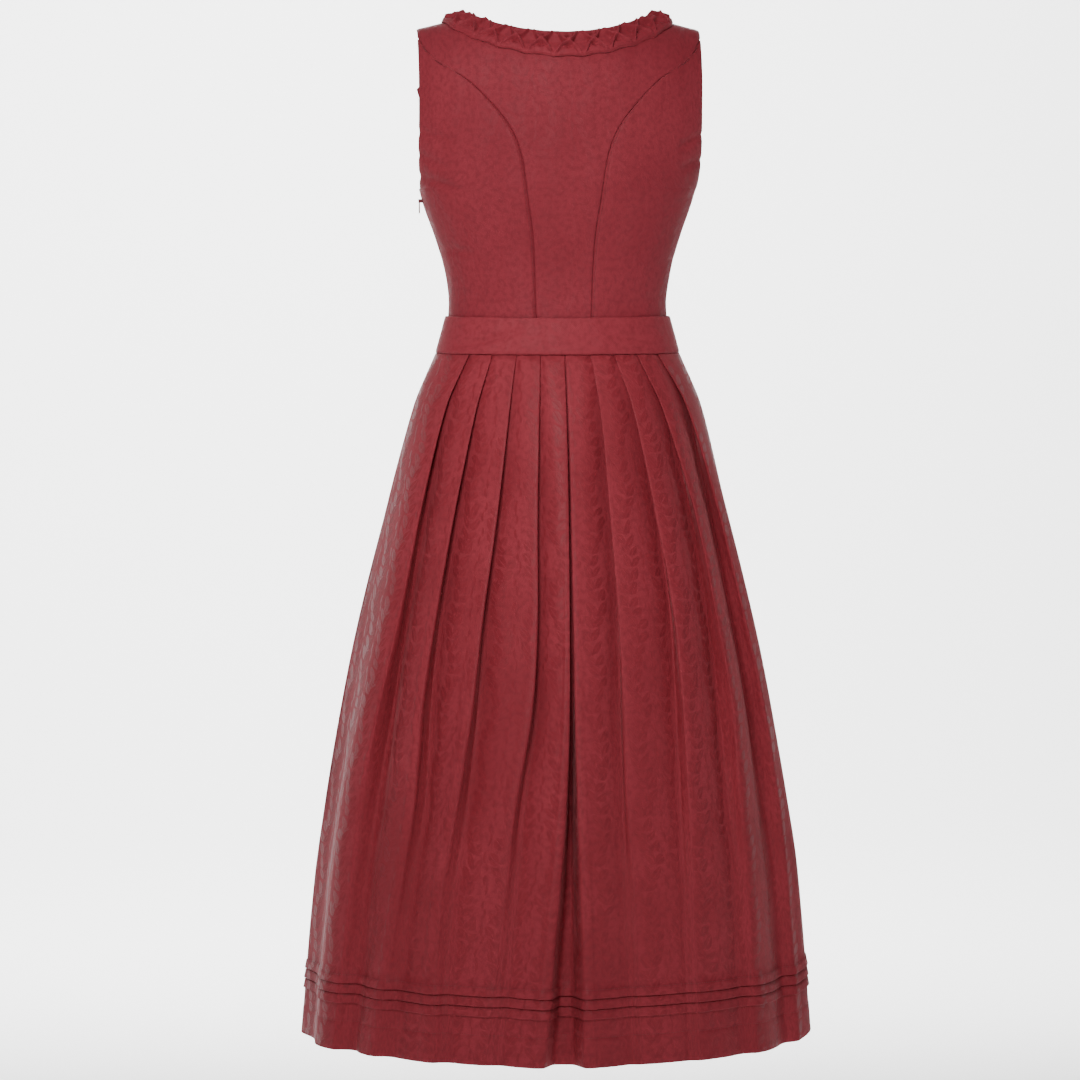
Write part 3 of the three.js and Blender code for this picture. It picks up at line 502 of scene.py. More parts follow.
@dataclass(frozen=True)
class LeafPattern:
    """The woven leaf garland: leaves in pairs on a winding stem, with a rosette on each turn."""

    column: float = 41.0
    repeat: float = 82.0
    leaves: int = 6
    swing: float = 5.0
    stem: float = 5.6
    leaf_length: float = 9.8
    leaf_width: float = 5.0
    leaf_turns: tuple[float, float] = (50.0, 128.0)
    rosette: float = 9.0
    bud: tuple[float, float] = (3.4, 6.0)
    drift: float = 16.0
    sway: float = 18.0
    drop: float = 3.0

    def group(self) -> bpy.types.NodeTree:
        """Builds the pattern as a node group: 1 on a motif, and which way its floats lean."""
        tree = bpy.data.node_groups.new("leaf_pattern", "ShaderNodeTree")
        tree.interface.new_socket("Place", in_out="INPUT", socket_type="NodeSocketVector")
        for name in ("Motif", "Lean"):
            tree.interface.new_socket(name, in_out="OUTPUT", socket_type="NodeSocketFloat")
        n = Nodes(tree)
        place = n.add("NodeGroupInput").outputs[0]
        along, up, _ = (Value(n, part) for part in n.add("ShaderNodeSeparateXYZ", {0: place}).outputs)
        u = along * 1000.0 + n.noise(place, 22.0, 1.0) * self.drift
        v = up * 1000.0 + n.noise(place, 31.0, 1.0) * self.sway
        index = n.math("FLOOR", u / self.column)
        x = u - index * self.column - self.column / 2
        y = v + n.math("PINGPONG", index, 1.0) * (self.repeat / 2 + self.drop)
        one, other = self._leaf(n, x, y, 1), self._leaf(n, x, y, -1)
        motif = n.math("MAXIMUM", n.math("MAXIMUM", one, other), self._rosette(n, x, y))
        motif = n.math("MAXIMUM", motif, self._bud(n, x, y))
        n.add("NodeGroupOutput", {0: motif, 1: motif * 0.6 - other * 1.2})
        return tree

    def _leaf(self, n: Nodes, x: Value, y: Value, hand: int) -> Value:
        """A pointed leaf with a vein, once in each leaf space along the stem, on one hand of it."""
        pitch = self.repeat / self.leaves
        cell = (n.math("FLOOR", y / pitch) + 0.5) * pitch
        stem = n.math("SINE", cell * (2 * math.pi / self.repeat)) * self.swing
        dx = x - stem - hand * self.stem
        dy = y - cell - (0.0 if hand > 0 else -2.0)
        turn = math.radians(self.leaf_turns[hand < 0])
        along = dx * math.cos(turn) + dy * math.sin(turn)
        aside = abs(dy * math.cos(turn) - dx * math.sin(turn))
        room = 1.0 - abs(along / self.leaf_length) ** 2.0 - aside / self.leaf_width
        vein = n.step(aside, 0.15, 0.6)
        return n.step(room, 0.0, 0.16) * vein

    def _rosette(self, n: Nodes, x: Value, y: Value) -> Value:
        """A flower of five petals with a ringed middle, where the stem crosses the middle of its column."""
        dy = y % self.repeat - self.repeat / 2
        radius = n.math("SQRT", x * x + dy * dy)
        turn = n.math("ARCTAN2", dy, x)
        petal = abs(n.math("COSINE", turn * 2.5))
        inside = n.step((petal * 0.34 + 0.66) * self.rosette - radius, 0.0, 1.2)
        rings = n.math("SINE", radius * 1.5 + turn * 2.0)
        return inside * n.step(rings, -0.75, -0.2)

    def _bud(self, n: Nodes, x: Value, y: Value) -> Value:
        """A small bud between the columns."""
        wide = (self.column / 2 - abs(x)) / self.bud[0]
        tall = (y % (self.repeat / 3) - self.repeat / 6) / self.bud[1]
        return n.step(1.0 - wide ** 2.0 - tall ** 2.0, 0.0, 0.3)


@dataclass(frozen=True)
class Jacquard:
    """Tone-on-tone burgundy cloth with a satin leaf pattern on a matt, finely woven ground."""

    name: str
    ground: tuple[int, int, int]
    motif: tuple[int, int, int]
    shade: tuple[int, int, int]
    motif_strength: float
    lean: float
    grain_dark: ClassVar[float] = 0.86
    bump: ClassVar[float] = 0.0003

    def material(self, pattern: bpy.types.NodeTree) -> bpy.types.Material:
        """Builds the material.

        Args:
            pattern: the leaf pattern's node group.

        Returns:
            The material.
        """
        made = bpy.data.materials.new(self.name)
        made.use_nodes = True
        n = Nodes(made.node_tree)
        shader = made.node_tree.nodes["Principled BSDF"]
        place = n.add("ShaderNodeUVMap", uv_map="cloth").outputs[0]
        leaf = n.add("ShaderNodeGroup", node_tree=pattern)
        n.fill(leaf, {0: place})
        motif = Value(n, leaf.outputs[0]) * self.motif_strength
        cloud = n.noise(n.add("ShaderNodeTexCoord").outputs["Object"], 9.0, 3.0)
        grain = n.noise(place, 900.0, 2.0)
        slub = n.add("ShaderNodeMapping", {"Scale": (1.0, 0.06, 1.0), "Vector": place})
        thread = n.noise(slub.outputs[0], 1400.0, 2.0)
        mottle = n.noise(place, 170.0, 4.0)
        colour = n.mix(motif, linear(self.ground), linear(self.motif))
        colour = n.mix(n.step(cloud, 0.35, 0.75), colour, linear(self.shade))
        deep = linear(tuple(round(value * self.grain_dark) for value in self.shade))
        colour = n.mix(n.step(grain, 0.35, 0.65) * 0.3, colour, deep)
        colour = n.mix(n.step(mottle, 0.4, 0.68) * 0.5, colour, deep)
        height = thread * 0.6 + self._twill(n, place) * 0.5 + motif * 0.7 + mottle * 1.6
        tilt = Value(n, leaf.outputs[1]) * self.lean + 0.5
        facing = n.add("ShaderNodeCombineColor", {0: tilt, 1: 0.5, 2: 1.0})
        lean = n.add("ShaderNodeNormalMap", {"Color": facing.outputs[0]}, uv_map="cloth")
        relief = {"Strength": 0.45, "Distance": self.bump, "Normal": lean.outputs[0], "Height": height}
        n.fill(shader, {
            "Base Color": colour,
            "Roughness": 0.66 - motif * 0.22 + grain * 0.1,
            "Sheen Weight": 0.16 - motif * 0.14,
            "Sheen Roughness": 0.4,
            "Sheen Tint": (1.0, 0.42, 0.44, 1.0),
            "Specular IOR Level": 0.16,
            "Normal": n.add("ShaderNodeBump", relief).outputs[0],
        })
        return made

    @staticmethod
    def _twill(n: Nodes, place: bpy.types.NodeSocket) -> Value:
        """Fine slanting ribs of the weave, 0.6 mm apart."""
        inputs = {"Vector": place, "Scale": 260.0, "Distortion": 1.5}
        node = n.add("ShaderNodeTexWave", inputs, wave_type="BANDS", bands_direction="DIAGONAL")
        return Value(n, node.outputs["Fac"])


@dataclass(frozen=True)
class PlainFinish:
    """A finish of one colour with fine grain: sewing thread, zip tape or enamelled metal."""

    name: str
    colour: tuple[int, int, int]
    dark: tuple[int, int, int]
    roughness: float
    metallic: float = 0.0
    grain: float = 2500.0
    bump: float = 0.00008

    def material(self) -> bpy.types.Material:
        """Builds the material."""
        made = bpy.data.materials.new(self.name)
        made.use_nodes = True
        n = Nodes(made.node_tree)
        shader = made.node_tree.nodes["Principled BSDF"]
        fine = n.noise(n.add("ShaderNodeTexCoord").outputs["Object"], self.grain, 3.0)
        relief = n.add("ShaderNodeBump", {"Strength": 0.4, "Distance": self.bump, "Height": fine})
        n.fill(shader, {
            "Base Color": n.mix(fine, linear(self.dark), linear(self.colour)),
            "Roughness": fine * 0.12 + self.roughness,
            "Metallic": self.metallic,
            "Normal": relief.outputs[0],
        })
        return made


@dataclass
class Finishes:
    """Every finish of the dress, built once. The four jacquards are copies of one cloth whose colours carry
    painted light, lighter or darker piece by piece.
    """

    bodice: bpy.types.Material
    band: bpy.types.Material
    skirt: bpy.types.Material
    trim: bpy.types.Material
    thread: bpy.types.Material
    tape: bpy.types.Material
    metal: bpy.types.Material

    @classmethod
    def build(cls) -> "Finishes":
        """Builds all the materials."""
        pattern = LeafPattern().group()
        weave = lambda name, *looks: Jacquard(f"{name}_jacquard", *looks).material(pattern)
        return cls(
            # One cloth in four copies: the ground, motif and shade colours differ piece by piece as painted
            # light, lightest on the skirt, then the band and trim, darkest on the bodice.
            bodice=weave("bodice", (141, 47, 57), (136, 44, 54), (130, 40, 50), 0.5, 0.05),
            band=weave("band", (148, 51, 61), (143, 48, 58), (138, 44, 54), 0.5, 0.05),
            skirt=weave("skirt", (151, 51, 61), (139, 44, 53), (137, 43, 52), 1.0, 0.08),
            trim=weave("trim", (144, 48, 58), (139, 45, 55), (133, 41, 51), 0.4, 0.04),
            thread=PlainFinish("sewing_thread", (128, 46, 50), (96, 32, 36), 0.5).material(),
            tape=PlainFinish("zip_tape", (88, 34, 38), (66, 24, 28), 0.75).material(),
            metal=PlainFinish("zip_enamel", (112, 40, 46), (92, 30, 36), 0.32, 0.25, 900.0, 2e-5).material(),
        )


def dress(piece: bpy.types.Object, material: bpy.types.Material, slot: str, *nodes: str) -> bpy.types.Object:
    """Gives a finished piece its material and body, and lets it stand for its nodes."""
    piece.data.materials.clear()
    piece.data.materials.append(material)
    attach(piece, BODY)
    if nodes:
        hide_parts(*nodes)
    log.info("%s: %d faces", piece.name, len(piece.data.polygons))
    return piece


@dataclass
class Stitcher:
    """Rows of stitches, made by a geometry tree that lays one stitch after another along a line."""

    pitch: float = 2.8
    length: float = 2.1
    thickness: float = 0.42
    seed: int = 7
    tree: Optional[bpy.types.NodeTree] = None
    sockets: dict[str, str] = field(default_factory=dict)

    def build_tree(self) -> bpy.types.NodeTree:
        """Builds the tree with named inputs for its sizes."""
        tree = bpy.data.node_groups.new("stitch_rows", "GeometryNodeTree")
        kinds = {
            "Line": "Geometry", "Pitch": "Float", "Stitch Length": "Float", "Thickness": "Float",
            "Seed": "Int", "Thread": "Material",
        }
        for name, kind in kinds.items():
            socket = tree.interface.new_socket(name, in_out="INPUT", socket_type=f"NodeSocket{kind}")
            self.sockets[name] = socket.identifier
        tree.interface.new_socket("Stitches", in_out="OUTPUT", socket_type="NodeSocketGeometry")
        n = Nodes(tree)
        given = n.add("NodeGroupInput").outputs
        curve = n.add("GeometryNodeMeshToCurve", {"Mesh": given["Line"]}).outputs[0]
        spaced = n.add("GeometryNodeResampleCurve", {"Curve": curve, "Length": given["Pitch"]}, mode="LENGTH")
        stitch = n.add("GeometryNodeMeshUVSphere", {"Segments": 6, "Rings": 4, "Radius": 0.5})
        sizes = {"X": given["Thickness"], "Y": given["Thickness"], "Z": given["Stitch Length"]}
        tangent = n.add("GeometryNodeInputTangent").outputs[0]
        aim = n.add("FunctionNodeAlignRotationToVector", {"Vector": tangent}, axis="Z")
        shake = {"Min": (-0.05, -0.05, 0.0), "Max": (0.05, 0.05, 0.0), "Seed": given["Seed"]}
        wobble = n.add("FunctionNodeRandomValue", shake, data_type="FLOAT_VECTOR")
        turns = {0: aim.outputs[0], 1: wobble.outputs["Value"]}
        row = n.add("GeometryNodeInstanceOnPoints", {
            "Points": spaced.outputs[0],
            "Instance": stitch.outputs["Mesh"],
            "Rotation": n.add("FunctionNodeRotateRotation", turns, rotation_space="LOCAL").outputs[0],
            "Scale": n.add("ShaderNodeCombineXYZ", sizes).outputs[0],
        })
        real = n.add("GeometryNodeRealizeInstances", {0: row.outputs[0]}).outputs[0]
        painted = n.add("GeometryNodeSetMaterial", {"Geometry": real, "Material": given["Thread"]})
        n.add("NodeGroupOutput", {0: painted.outputs[0]})
        return tree

    def sew(
        self, name: str, lines: Sequence[Array], material: bpy.types.Material, slot: str
    ) -> bpy.types.Object:
        """Sews one stitch row along each line of points and returns them as one plain mesh.

        Args:
            name: the piece's name.
            lines: points in millimetres, one array a row.
            material: the thread's finish.
            slot: not used.

        Returns:
            The piece, dressed and riding.
        """
        if self.tree is None:
            self.tree = self.build_tree()
        mesh = bpy.data.meshes.new(name + "_line")
        points, edges = [], []
        for line in lines:
            start = len(points)
            points += [tuple(point) for point in np.asarray(line) * MM]
            edges += [(start + i, start + i + 1) for i in range(len(line) - 1)]
        mesh.from_pydata(points, edges, [])
        guide = placed(name + "_line", mesh)
        modifier = guide.modifiers.new("stitches", "NODES")
        modifier.node_group = self.tree
        sizes = {"Pitch": self.pitch, "Stitch Length": self.length, "Thickness": self.thickness}
        sizes = {label: size * MM for label, size in sizes.items()}
        for label, value in {**sizes, "Seed": self.seed, "Thread": material}.items():
            modifier[self.sockets[label]] = value
        bpy.context.view_layer.update()
        graph = bpy.context.evaluated_depsgraph_get()
        made = bpy.data.meshes.new_from_object(guide.evaluated_get(graph))
        guide.modifiers.remove(modifier)
        bpy.data.objects.remove(guide)
        made.polygons.foreach_set("use_smooth", np.ones(len(made.polygons), bool))
        return dress(placed(name, made), material, slot)


@dataclass
class Bodice:
    """Six panels cut on princess seams, shells over the form with rolled seam edges and worn creases."""

    finishes: Finishes
    thickness: float = 1.3
    seam_gap: float = 0.22
    edge_roll: float = 0.55
    edge_width: float = 1.1
    puff: float = 0.25
    slack: float = 0.55
    stitch_share: float = 2.4 / 200.0
    grain_width: float = 205.0
    row: float = 4.0
    creases: tuple[Crease, ...] = (
        Crease((158.0, -128.0), (124.0, -138.0), 3.9, 3.2),
        Crease((158.0, -152.0), (130.0, -168.0), 3.6, 3.0),
        Crease((158.0, -176.0), (112.0, -194.0), 3.9, 3.4),
        Crease((132.0, -256.0), (100.0, -262.0), 3.0, 3.8),
        Crease((122.0, -306.0), (70.0, -318.0), 0.7, 6.0),
        Crease((-158.0, -130.0), (-130.0, -146.0), 3.2, 3.2),
        Crease((-158.0, -158.0), (-134.0, -168.0), 2.8, 3.0),
        Crease((-152.0, -196.0), (-118.0, -214.0), 0.8, 4.6),
        Crease((-128.0, -268.0), (-96.0, -282.0), 0.7, 5.0),
        Crease((-118.0, -312.0), (-62.0, -320.0), 0.7, 6.0),
        Crease((60.0, -58.0), (110.0, -84.0), -0.8, 16.0),
        Crease((-54.0, -62.0), (-104.0, -90.0), -0.8, 16.0),
        Crease((14.0, -318.0), (-22.0, -300.0), 0.5, 8.0),
    )
    stitch_lines: list[Array] = field(default_factory=list)

    def build(self) -> list[bpy.types.Object]:
        """Builds all six panels."""
        made = []
        for side in (BACK, FRONT):
            share, rise = self._centre_cells(side)
            made.append(self._panel(f"{side.name}_centre", side, share, rise, (True, True)))
            for hand in Hand:
                share, rise = self._side_cells(side, hand)
                name = f"{side.name}_side_{hand.name.lower()}"
                made.append(self._panel(name, side, share, rise, (True, False)))
                self.stitch_lines += self._topstitching(side, hand)
        return made

    def _centre_cells(self, side: Side) -> tuple[Array, Array]:
        """The places of a centre panel, which ends on the neckline and on the shoulder seams."""
        half = np.concatenate([np.linspace(0, NECK_SHARE, 19), np.linspace(NECK_SHARE, 1, 15)[1:]])
        column = np.concatenate([-half[:0:-1], half])[None, :]
        away = np.abs(column)
        neck_x = NECK_HALF * np.sin(np.clip(column / NECK_SHARE, -1, 1) * math.pi / 2)
        climb = np.abs(neck_x / NECK_HALF) ** side.neck_power
        neck_z = side.neck_depth + (NECK_POINT_HEIGHT - side.neck_depth) * climb
        at_neck = away <= NECK_SHARE + 1e-6
        steps = ramp(away, NECK_SHARE, 1 - NECK_SHARE)
        strap_x = np.sign(column) * (NECK_HALF + (SHOULDER_HALF - NECK_HALF) * steps ** 0.9)
        top_x = np.where(at_neck, neck_x, strap_x)
        top_z = np.where(at_neck, neck_z, shoulder_line(top_x))
        top_share = np.where(away >= 1, column, side.share_at(top_x, top_z))
        low = np.arange(BODICE_BOTTOM, side.start, self.row)[:, None] + 0 * column
        low_share = column * side.seam_share(low)
        rise_steps = np.linspace(0, 1, 26)[:, None]
        high = side.start + (top_z - side.start) * rise_steps
        at_seam = column * side.seam_share(high)
        high_share = np.where(away < 1, at_seam + (top_share - at_seam) * rise_steps, at_seam)
        z = np.concatenate([low, high])
        share = np.concatenate([low_share, high_share])
        return share, side.rise_at(share, z)

    def _side_cells(self, side: Side, hand: Hand) -> tuple[Array, Array]:
        """The places of a side panel, from the princess seam to the side seam and armhole."""
        end = side.seam.z[-1]
        z = np.concatenate([
            np.arange(BODICE_BOTTOM, UNDERARM - 2, self.row),
            UNDERARM + np.array([0.0, 0.6, 1.8, 3.6, 6.0, 9.0]),
            np.arange(UNDERARM + 13.0, end - 2, self.row),
            [end],
        ])[:, None]
        column = np.concatenate([np.linspace(0, 0.9, 26), np.linspace(0.9, 1, 6)[1:]])[None, :]
        inner = side.seam_share(z)
        share = hand.value * (inner + (1 - inner) * column)
        return share, side.rise_at(share, z + 0 * column)

    def _lift(self, share: Array, z: Array) -> Array:
        """How far the cloth's slack stands out over the form."""
        return self.slack * SoftNoise(11, (46.0, 38.0)).at(share * self.grain_width + 400, z + 900)

    def _panel(
        self, name: str, side: Side, share: Array, rise: Array, seams: tuple[bool, bool]
    ) -> bpy.types.Object:
        """Makes one panel: the form's surface with creases, and edges turned in at the seams.

        Args:
            name: the solid that the panel stands for.
            side: the back or the front.
            share: the places of the panel's grid over the form.
            rise: the same, upwards.
            seams: whether the first and the last edge are sewn to a neighbour.

        Returns:
            The panel.
        """
        points = side.point(share, rise)
        normal = side.normal(share, rise)
        x, z = points[..., 0] * side.sign, points[..., 2]
        out = (1.0 if side is BACK else 0.6) * sum(crease.at(x, z) for crease in self.creases)
        roll = 0
        for end, sewn in zip((points[:, :1], points[:, -1:]), seams):
            distance = np.linalg.norm(points - end, axis=2)
            roll = roll - self.edge_roll * bell(distance, 0, self.edge_width) * (1.0 if sewn else 0.6)
            roll = roll + self.puff * bell(distance, 3.0, 1.8) * (1.0 if sewn else 0.5)
        out = (out + self._lift(share, z) + 0.2) * ramp(z, BAND_TOP, 14.0) + roll
        outer = points + normal * out[..., None]
        inner = outer - normal * self.thickness
        for grid in (outer, inner):
            grid[:, 0] += self._towards(grid[:, 1] - grid[:, 0])
            grid[:, -1] += self._towards(grid[:, -2] - grid[:, -1])
            grid[-1] += self._towards(grid[-2] - grid[-1])
        uv = np.stack([share * self.grain_width * side.sign, z], -1) * MM
        piece = wall(name + "_cloth", outer, inner, uv)
        dress(piece, self.finishes.bodice, "bodice_cloth", name)
        across = lengths(outer, 1)[z.max(1) < side.start]
        width = max(float(across.max()), float(np.ptp(x))) * MM
        return piece

    def _towards(self, step: Array) -> Array:
        """A short move in the direction of step."""
        return step / np.maximum(np.linalg.norm(step, axis=-1, keepdims=True), 1e-6) * self.seam_gap

    def _topstitching(self, side: Side, hand: Hand) -> list[Array]:
        """A stitch row on the side panel, a little way from the princess seam."""
        z = np.arange(BAND_TOP + 2, side.seam.z[-1] - 6, 3.0)
        inner = side.seam_share(z)
        share = hand.value * (inner + self.stitch_share)
        rise = side.rise_at(share, z)
        lift = self._lift(share, z) * ramp(z, BAND_TOP, 14.0)
        return [side.point(share, rise) + side.normal(share, rise) * (lift + 0.45)[:, None]]


@dataclass
class Allowances:
    """The allowances pressed open behind the bodice's seams, which close the seams to light."""

    finishes: Finishes
    width: float = 9.0
    reach: float = 0.993
    depth: float = 1.55
    thickness: float = 0.4

    def build(self) -> None:
        """Builds a strip behind each princess seam, the right side seam and the shoulder seams."""
        for side in (BACK, FRONT):
            for hand in Hand:
                self._princess(side, hand)
        for hand in Hand:
            self._shoulder(hand)
        self._side_seam()

    def _strip(self, name: str, points: Array, normals: Array) -> None:
        """Makes one strip from rows of places on the form."""
        outer = points - normals * self.depth
        inner = points - normals * (self.depth + self.thickness)
        rows, columns = points.shape[:2]
        length, across = lengths(points, 0).mean(), lengths(points, 1).mean()
        u, v = np.linspace(0, across, columns)[None, :], np.linspace(0, length, rows)[:, None]
        piece = wall(name, outer, inner, np.stack(np.broadcast_arrays(u, v), -1) * MM)
        dress(piece, self.finishes.bodice, "bodice_cloth")

    def _princess(self, side: Side, hand: Hand) -> None:
        """The allowance behind a princess seam."""
        z = np.arange(BODICE_BOTTOM + 8, side.seam.z[-1] + 7, 4.0)[:, None]
        seam = hand.value * side.seam_share(z)
        aside, _ = side.slopes(seam, side.rise_at(seam, z))
        share = seam + np.linspace(-1, 1, 7)[None, :] * self.width / np.linalg.norm(aside, axis=-1)
        share = np.clip(share, -self.reach, self.reach)
        rise = side.rise_at(share, z + 0 * share)
        name = f"allowance_{side.name}_{hand.name.lower()}"
        self._strip(name, side.point(share, rise), side.normal(share, rise))

    def _shoulder(self, hand: Hand) -> None:
        """The allowance behind a shoulder seam."""
        x = hand.value * np.linspace(NECK_HALF + 5, SHOULDER_HALF - 4, 14)
        points, normals = [], []
        for side, rise in ((BACK, 0.93), (BACK, 0.965), (BACK, 0.999), (FRONT, 0.965), (FRONT, 0.93)):
            share = side.share_at(x, shoulder_line(x))
            points.append(side.point(share, rise))
            normals.append(side.normal(share, np.full_like(share, rise)))
        name = f"allowance_shoulder_{hand.name.lower()}"
        self._strip(name, np.stack(points, 1), np.stack(normals, 1))

    def _side_seam(self) -> None:
        """The allowance behind the right side seam."""
        z = np.arange(BODICE_BOTTOM + 8, UNDERARM - 4, 5.0)
        points, normals = [], []
        for side, share in ((BACK, 0.965), (BACK, 0.982), (BACK, 0.999), (FRONT, 0.982), (FRONT, 0.965)):
            rise = z - ROLL_START
            points.append(side.point(np.full_like(z, -share), rise))
            normals.append(side.normal(np.full_like(z, -share), rise))
        self._strip("allowance_side_right", np.stack(points, 1), np.stack(normals, 1))


@dataclass
class Waistband:
    """The waistband: one firm strip, open at the left seam, with soft slanting folds."""

    finishes: Finishes
    clearance: float = 0.5
    thickness: float = 3.2
    creases: tuple[Crease, ...] = (
        Crease((114.0, -367.0), (46.0, -348.0), 3.4, 3.4),
        Crease((66.0, -346.0), (14.0, -340.0), 0.6, 3.6),
        Crease((20.0, -366.0), (-34.0, -358.0), 0.6, 4.4),
        Crease((-52.0, -352.0), (-96.0, -362.0), 1.4, 4.0),
        Crease((-100.0, -344.0), (-124.0, -352.0), 0.8, 3.4),
        Crease((124.0, -344.0), (100.0, -348.0), 0.6, 3.4),
        Crease((-130.0, -366.0), (-96.0, -371.0), 0.6, 3.0),
    )

    def build(self) -> bpy.types.Object:
        """Builds the band."""
        across = np.concatenate([[0, 0.03, 0.07, 0.12], np.linspace(0.18, 0.84, 12), [0.9, 0.95, 0.98, 1]])
        z = (BAND_BOTTOM + (BAND_TOP - BAND_BOTTOM) * across)[:, None]
        steps = 150
        back, front = np.linspace(1, -1, steps + 1), np.linspace(-1, 1, steps + 1)[1:]
        halves = ((BACK, back), (FRONT, front))
        rings = [(side, *np.broadcast_arrays(share, z - ROLL_START)) for side, share in halves]
        points = np.concatenate([side.point(share, rise) for side, share, rise in rings], 1)
        normal = np.concatenate([side.normal(share, rise) for side, share, rise in rings], 1)
        mirrored = np.where(points[..., 1] >= 0, points[..., 0], -points[..., 0])
        out = sum(crease.at(mirrored, points[..., 2]) for crease in self.creases)
        slack = SoftNoise(5, (30.0, 26.0))
        arc = np.concatenate([[0], np.cumsum(np.linalg.norm(np.diff(points[0], axis=0), axis=1))])[None, :]
        out = out + 0.35 * slack.at(arc + 0 * z, z + 800)
        edge = np.minimum(across, 1 - across)[:, None] * (BAND_TOP - BAND_BOTTOM)
        out = out * np.clip(edge / 3.0, 0.25, 1)
        round_edge = -0.9 * bell(edge, 0, 0.9)
        groove = -0.35 * bell(edge, 2.6, 0.7) * (across[:, None] > 0.5)
        outer = points + normal * (self.clearance + self.thickness + out + round_edge + groove)[..., None]
        inner = points + normal * self.clearance
        for grid in (outer, inner):
            grid[:, 0, 1] += 0.4
            grid[:, -1, 1] -= 0.4
            grid[0, :, 2] = BAND_BOTTOM
            grid[-1, :, 2] = BAND_TOP + 0.35 * np.sin(arc[0] / 37.0) + 0.25 * np.sin(arc[0] / 11.0)
        uv = np.stack(np.broadcast_arrays(arc, z), -1) * MM
        piece = wall("waistband_cloth", outer, inner, uv)
        dress(piece, self.finishes.band, "band_cloth", "waistband")
        return piece


@dataclass(frozen=True)
class Fold:
    """One pleat: where its edge lies at each of the fold heights, and how it opens towards the hem."""

    shares: tuple[float, ...]
    depth: float
    opening: float
    valley: float

    def share(self, z: float) -> float:
        """The share of the way to the side seam at which the fold edge lies."""
        heights, shares = np.array(FOLD_HEIGHTS[::-1]), np.array(self.shares[::-1])
        return float(Profile.smooth(heights, shares, np.array([z]))[0])


def folds(*rows: Sequence[float]) -> tuple[Fold, ...]:
    """Folds from rows of eight shares, depth, opening and valley."""
    return tuple(Fold(tuple(row[:8]), row[8], row[9], row[10]) for row in rows)


BACK_LEFT = folds(
    (0.004, 0.004, 0.004, 0.006, 0.012, 0.026, 0.05, 0.085, 1.1, 0.7, 0.9),
    (0.128, 0.122, 0.118, 0.11, 0.12, 0.165, 0.19, 0.23, 0.75, 0.8, 0.1),
    (0.257, 0.256, 0.268, 0.287, 0.3, 0.331, 0.366, 0.37, 1.0, 1.0, 0.25),
    (0.397, 0.418, 0.446, 0.46, 0.467, 0.468, 0.5, 0.55, 1.0, 1.0, 0.3),
    (0.553, 0.6, 0.62, 0.616, 0.636, 0.67, 0.675, 0.7, 1.15, 1.0, 0.35),
)
BACK_RIGHT = folds(
    (0.004, 0.004, 0.004, 0.004, 0.002, 0.004, 0.01, 0.014, 1.1, 0.7, 0.9),
    (0.136, 0.146, 0.15, 0.152, 0.15, 0.15, 0.155, 0.16, 0.3, 0.5, 0.0),
    (0.268, 0.303, 0.334, 0.352, 0.344, 0.335, 0.325, 0.325, 0.55, 0.8, 0.1),
    (0.411, 0.468, 0.53, 0.535, 0.535, 0.522, 0.52, 0.51, 0.95, 1.0, 0.25),
    (0.575, 0.66, 0.71, 0.714, 0.725, 0.735, 0.73, 0.72, 0.9, 1.0, 0.3),
)
FRONT_LEFT = folds(
    (0.004, 0.004, 0.004, 0.006, 0.01, 0.018, 0.032, 0.05, 0.9, 0.7, 0.6),
    (0.13, 0.135, 0.14, 0.142, 0.15, 0.158, 0.17, 0.19, 0.7, 0.8, 0.1),
    (0.262, 0.278, 0.3, 0.312, 0.318, 0.33, 0.345, 0.352, 0.9, 1.0, 0.25),
    (0.403, 0.432, 0.462, 0.474, 0.486, 0.497, 0.51, 0.53, 1.1, 1.0, 0.3),
    (0.56, 0.612, 0.65, 0.664, 0.676, 0.69, 0.7, 0.705, 0.9, 1.0, 0.3),
)
FRONT_RIGHT = folds(
    (0.004, 0.004, 0.004, 0.006, 0.012, 0.022, 0.036, 0.046, 0.9, 0.7, 0.6),
    (0.13, 0.138, 0.145, 0.156, 0.165, 0.168, 0.176, 0.182, 0.85, 0.8, 0.15),
    (0.262, 0.282, 0.31, 0.325, 0.335, 0.34, 0.344, 0.36, 0.7, 1.0, 0.15),
    (0.403, 0.44, 0.478, 0.492, 0.496, 0.505, 0.52, 0.535, 1.0, 1.0, 0.3),
    (0.56, 0.62, 0.662, 0.684, 0.69, 0.7, 0.702, 0.71, 1.1, 1.0, 0.3),
)
FLANK_COLUMNS = ("share", "top", "back_left", "back_right", "front_left", "front_right")
FLANK = (
    (0.3, 0.95, 9.0, 9.0, 9.0, 9.0),
    (0.6, 0.9, -8.0, -10.0, -8.0, 3.0),
    (0.82, 0.85, -3.0, -12.0, -3.0, -5.0),
    (1.0, 0.8, 2.0, -9.0, 2.0, -9.0),
)


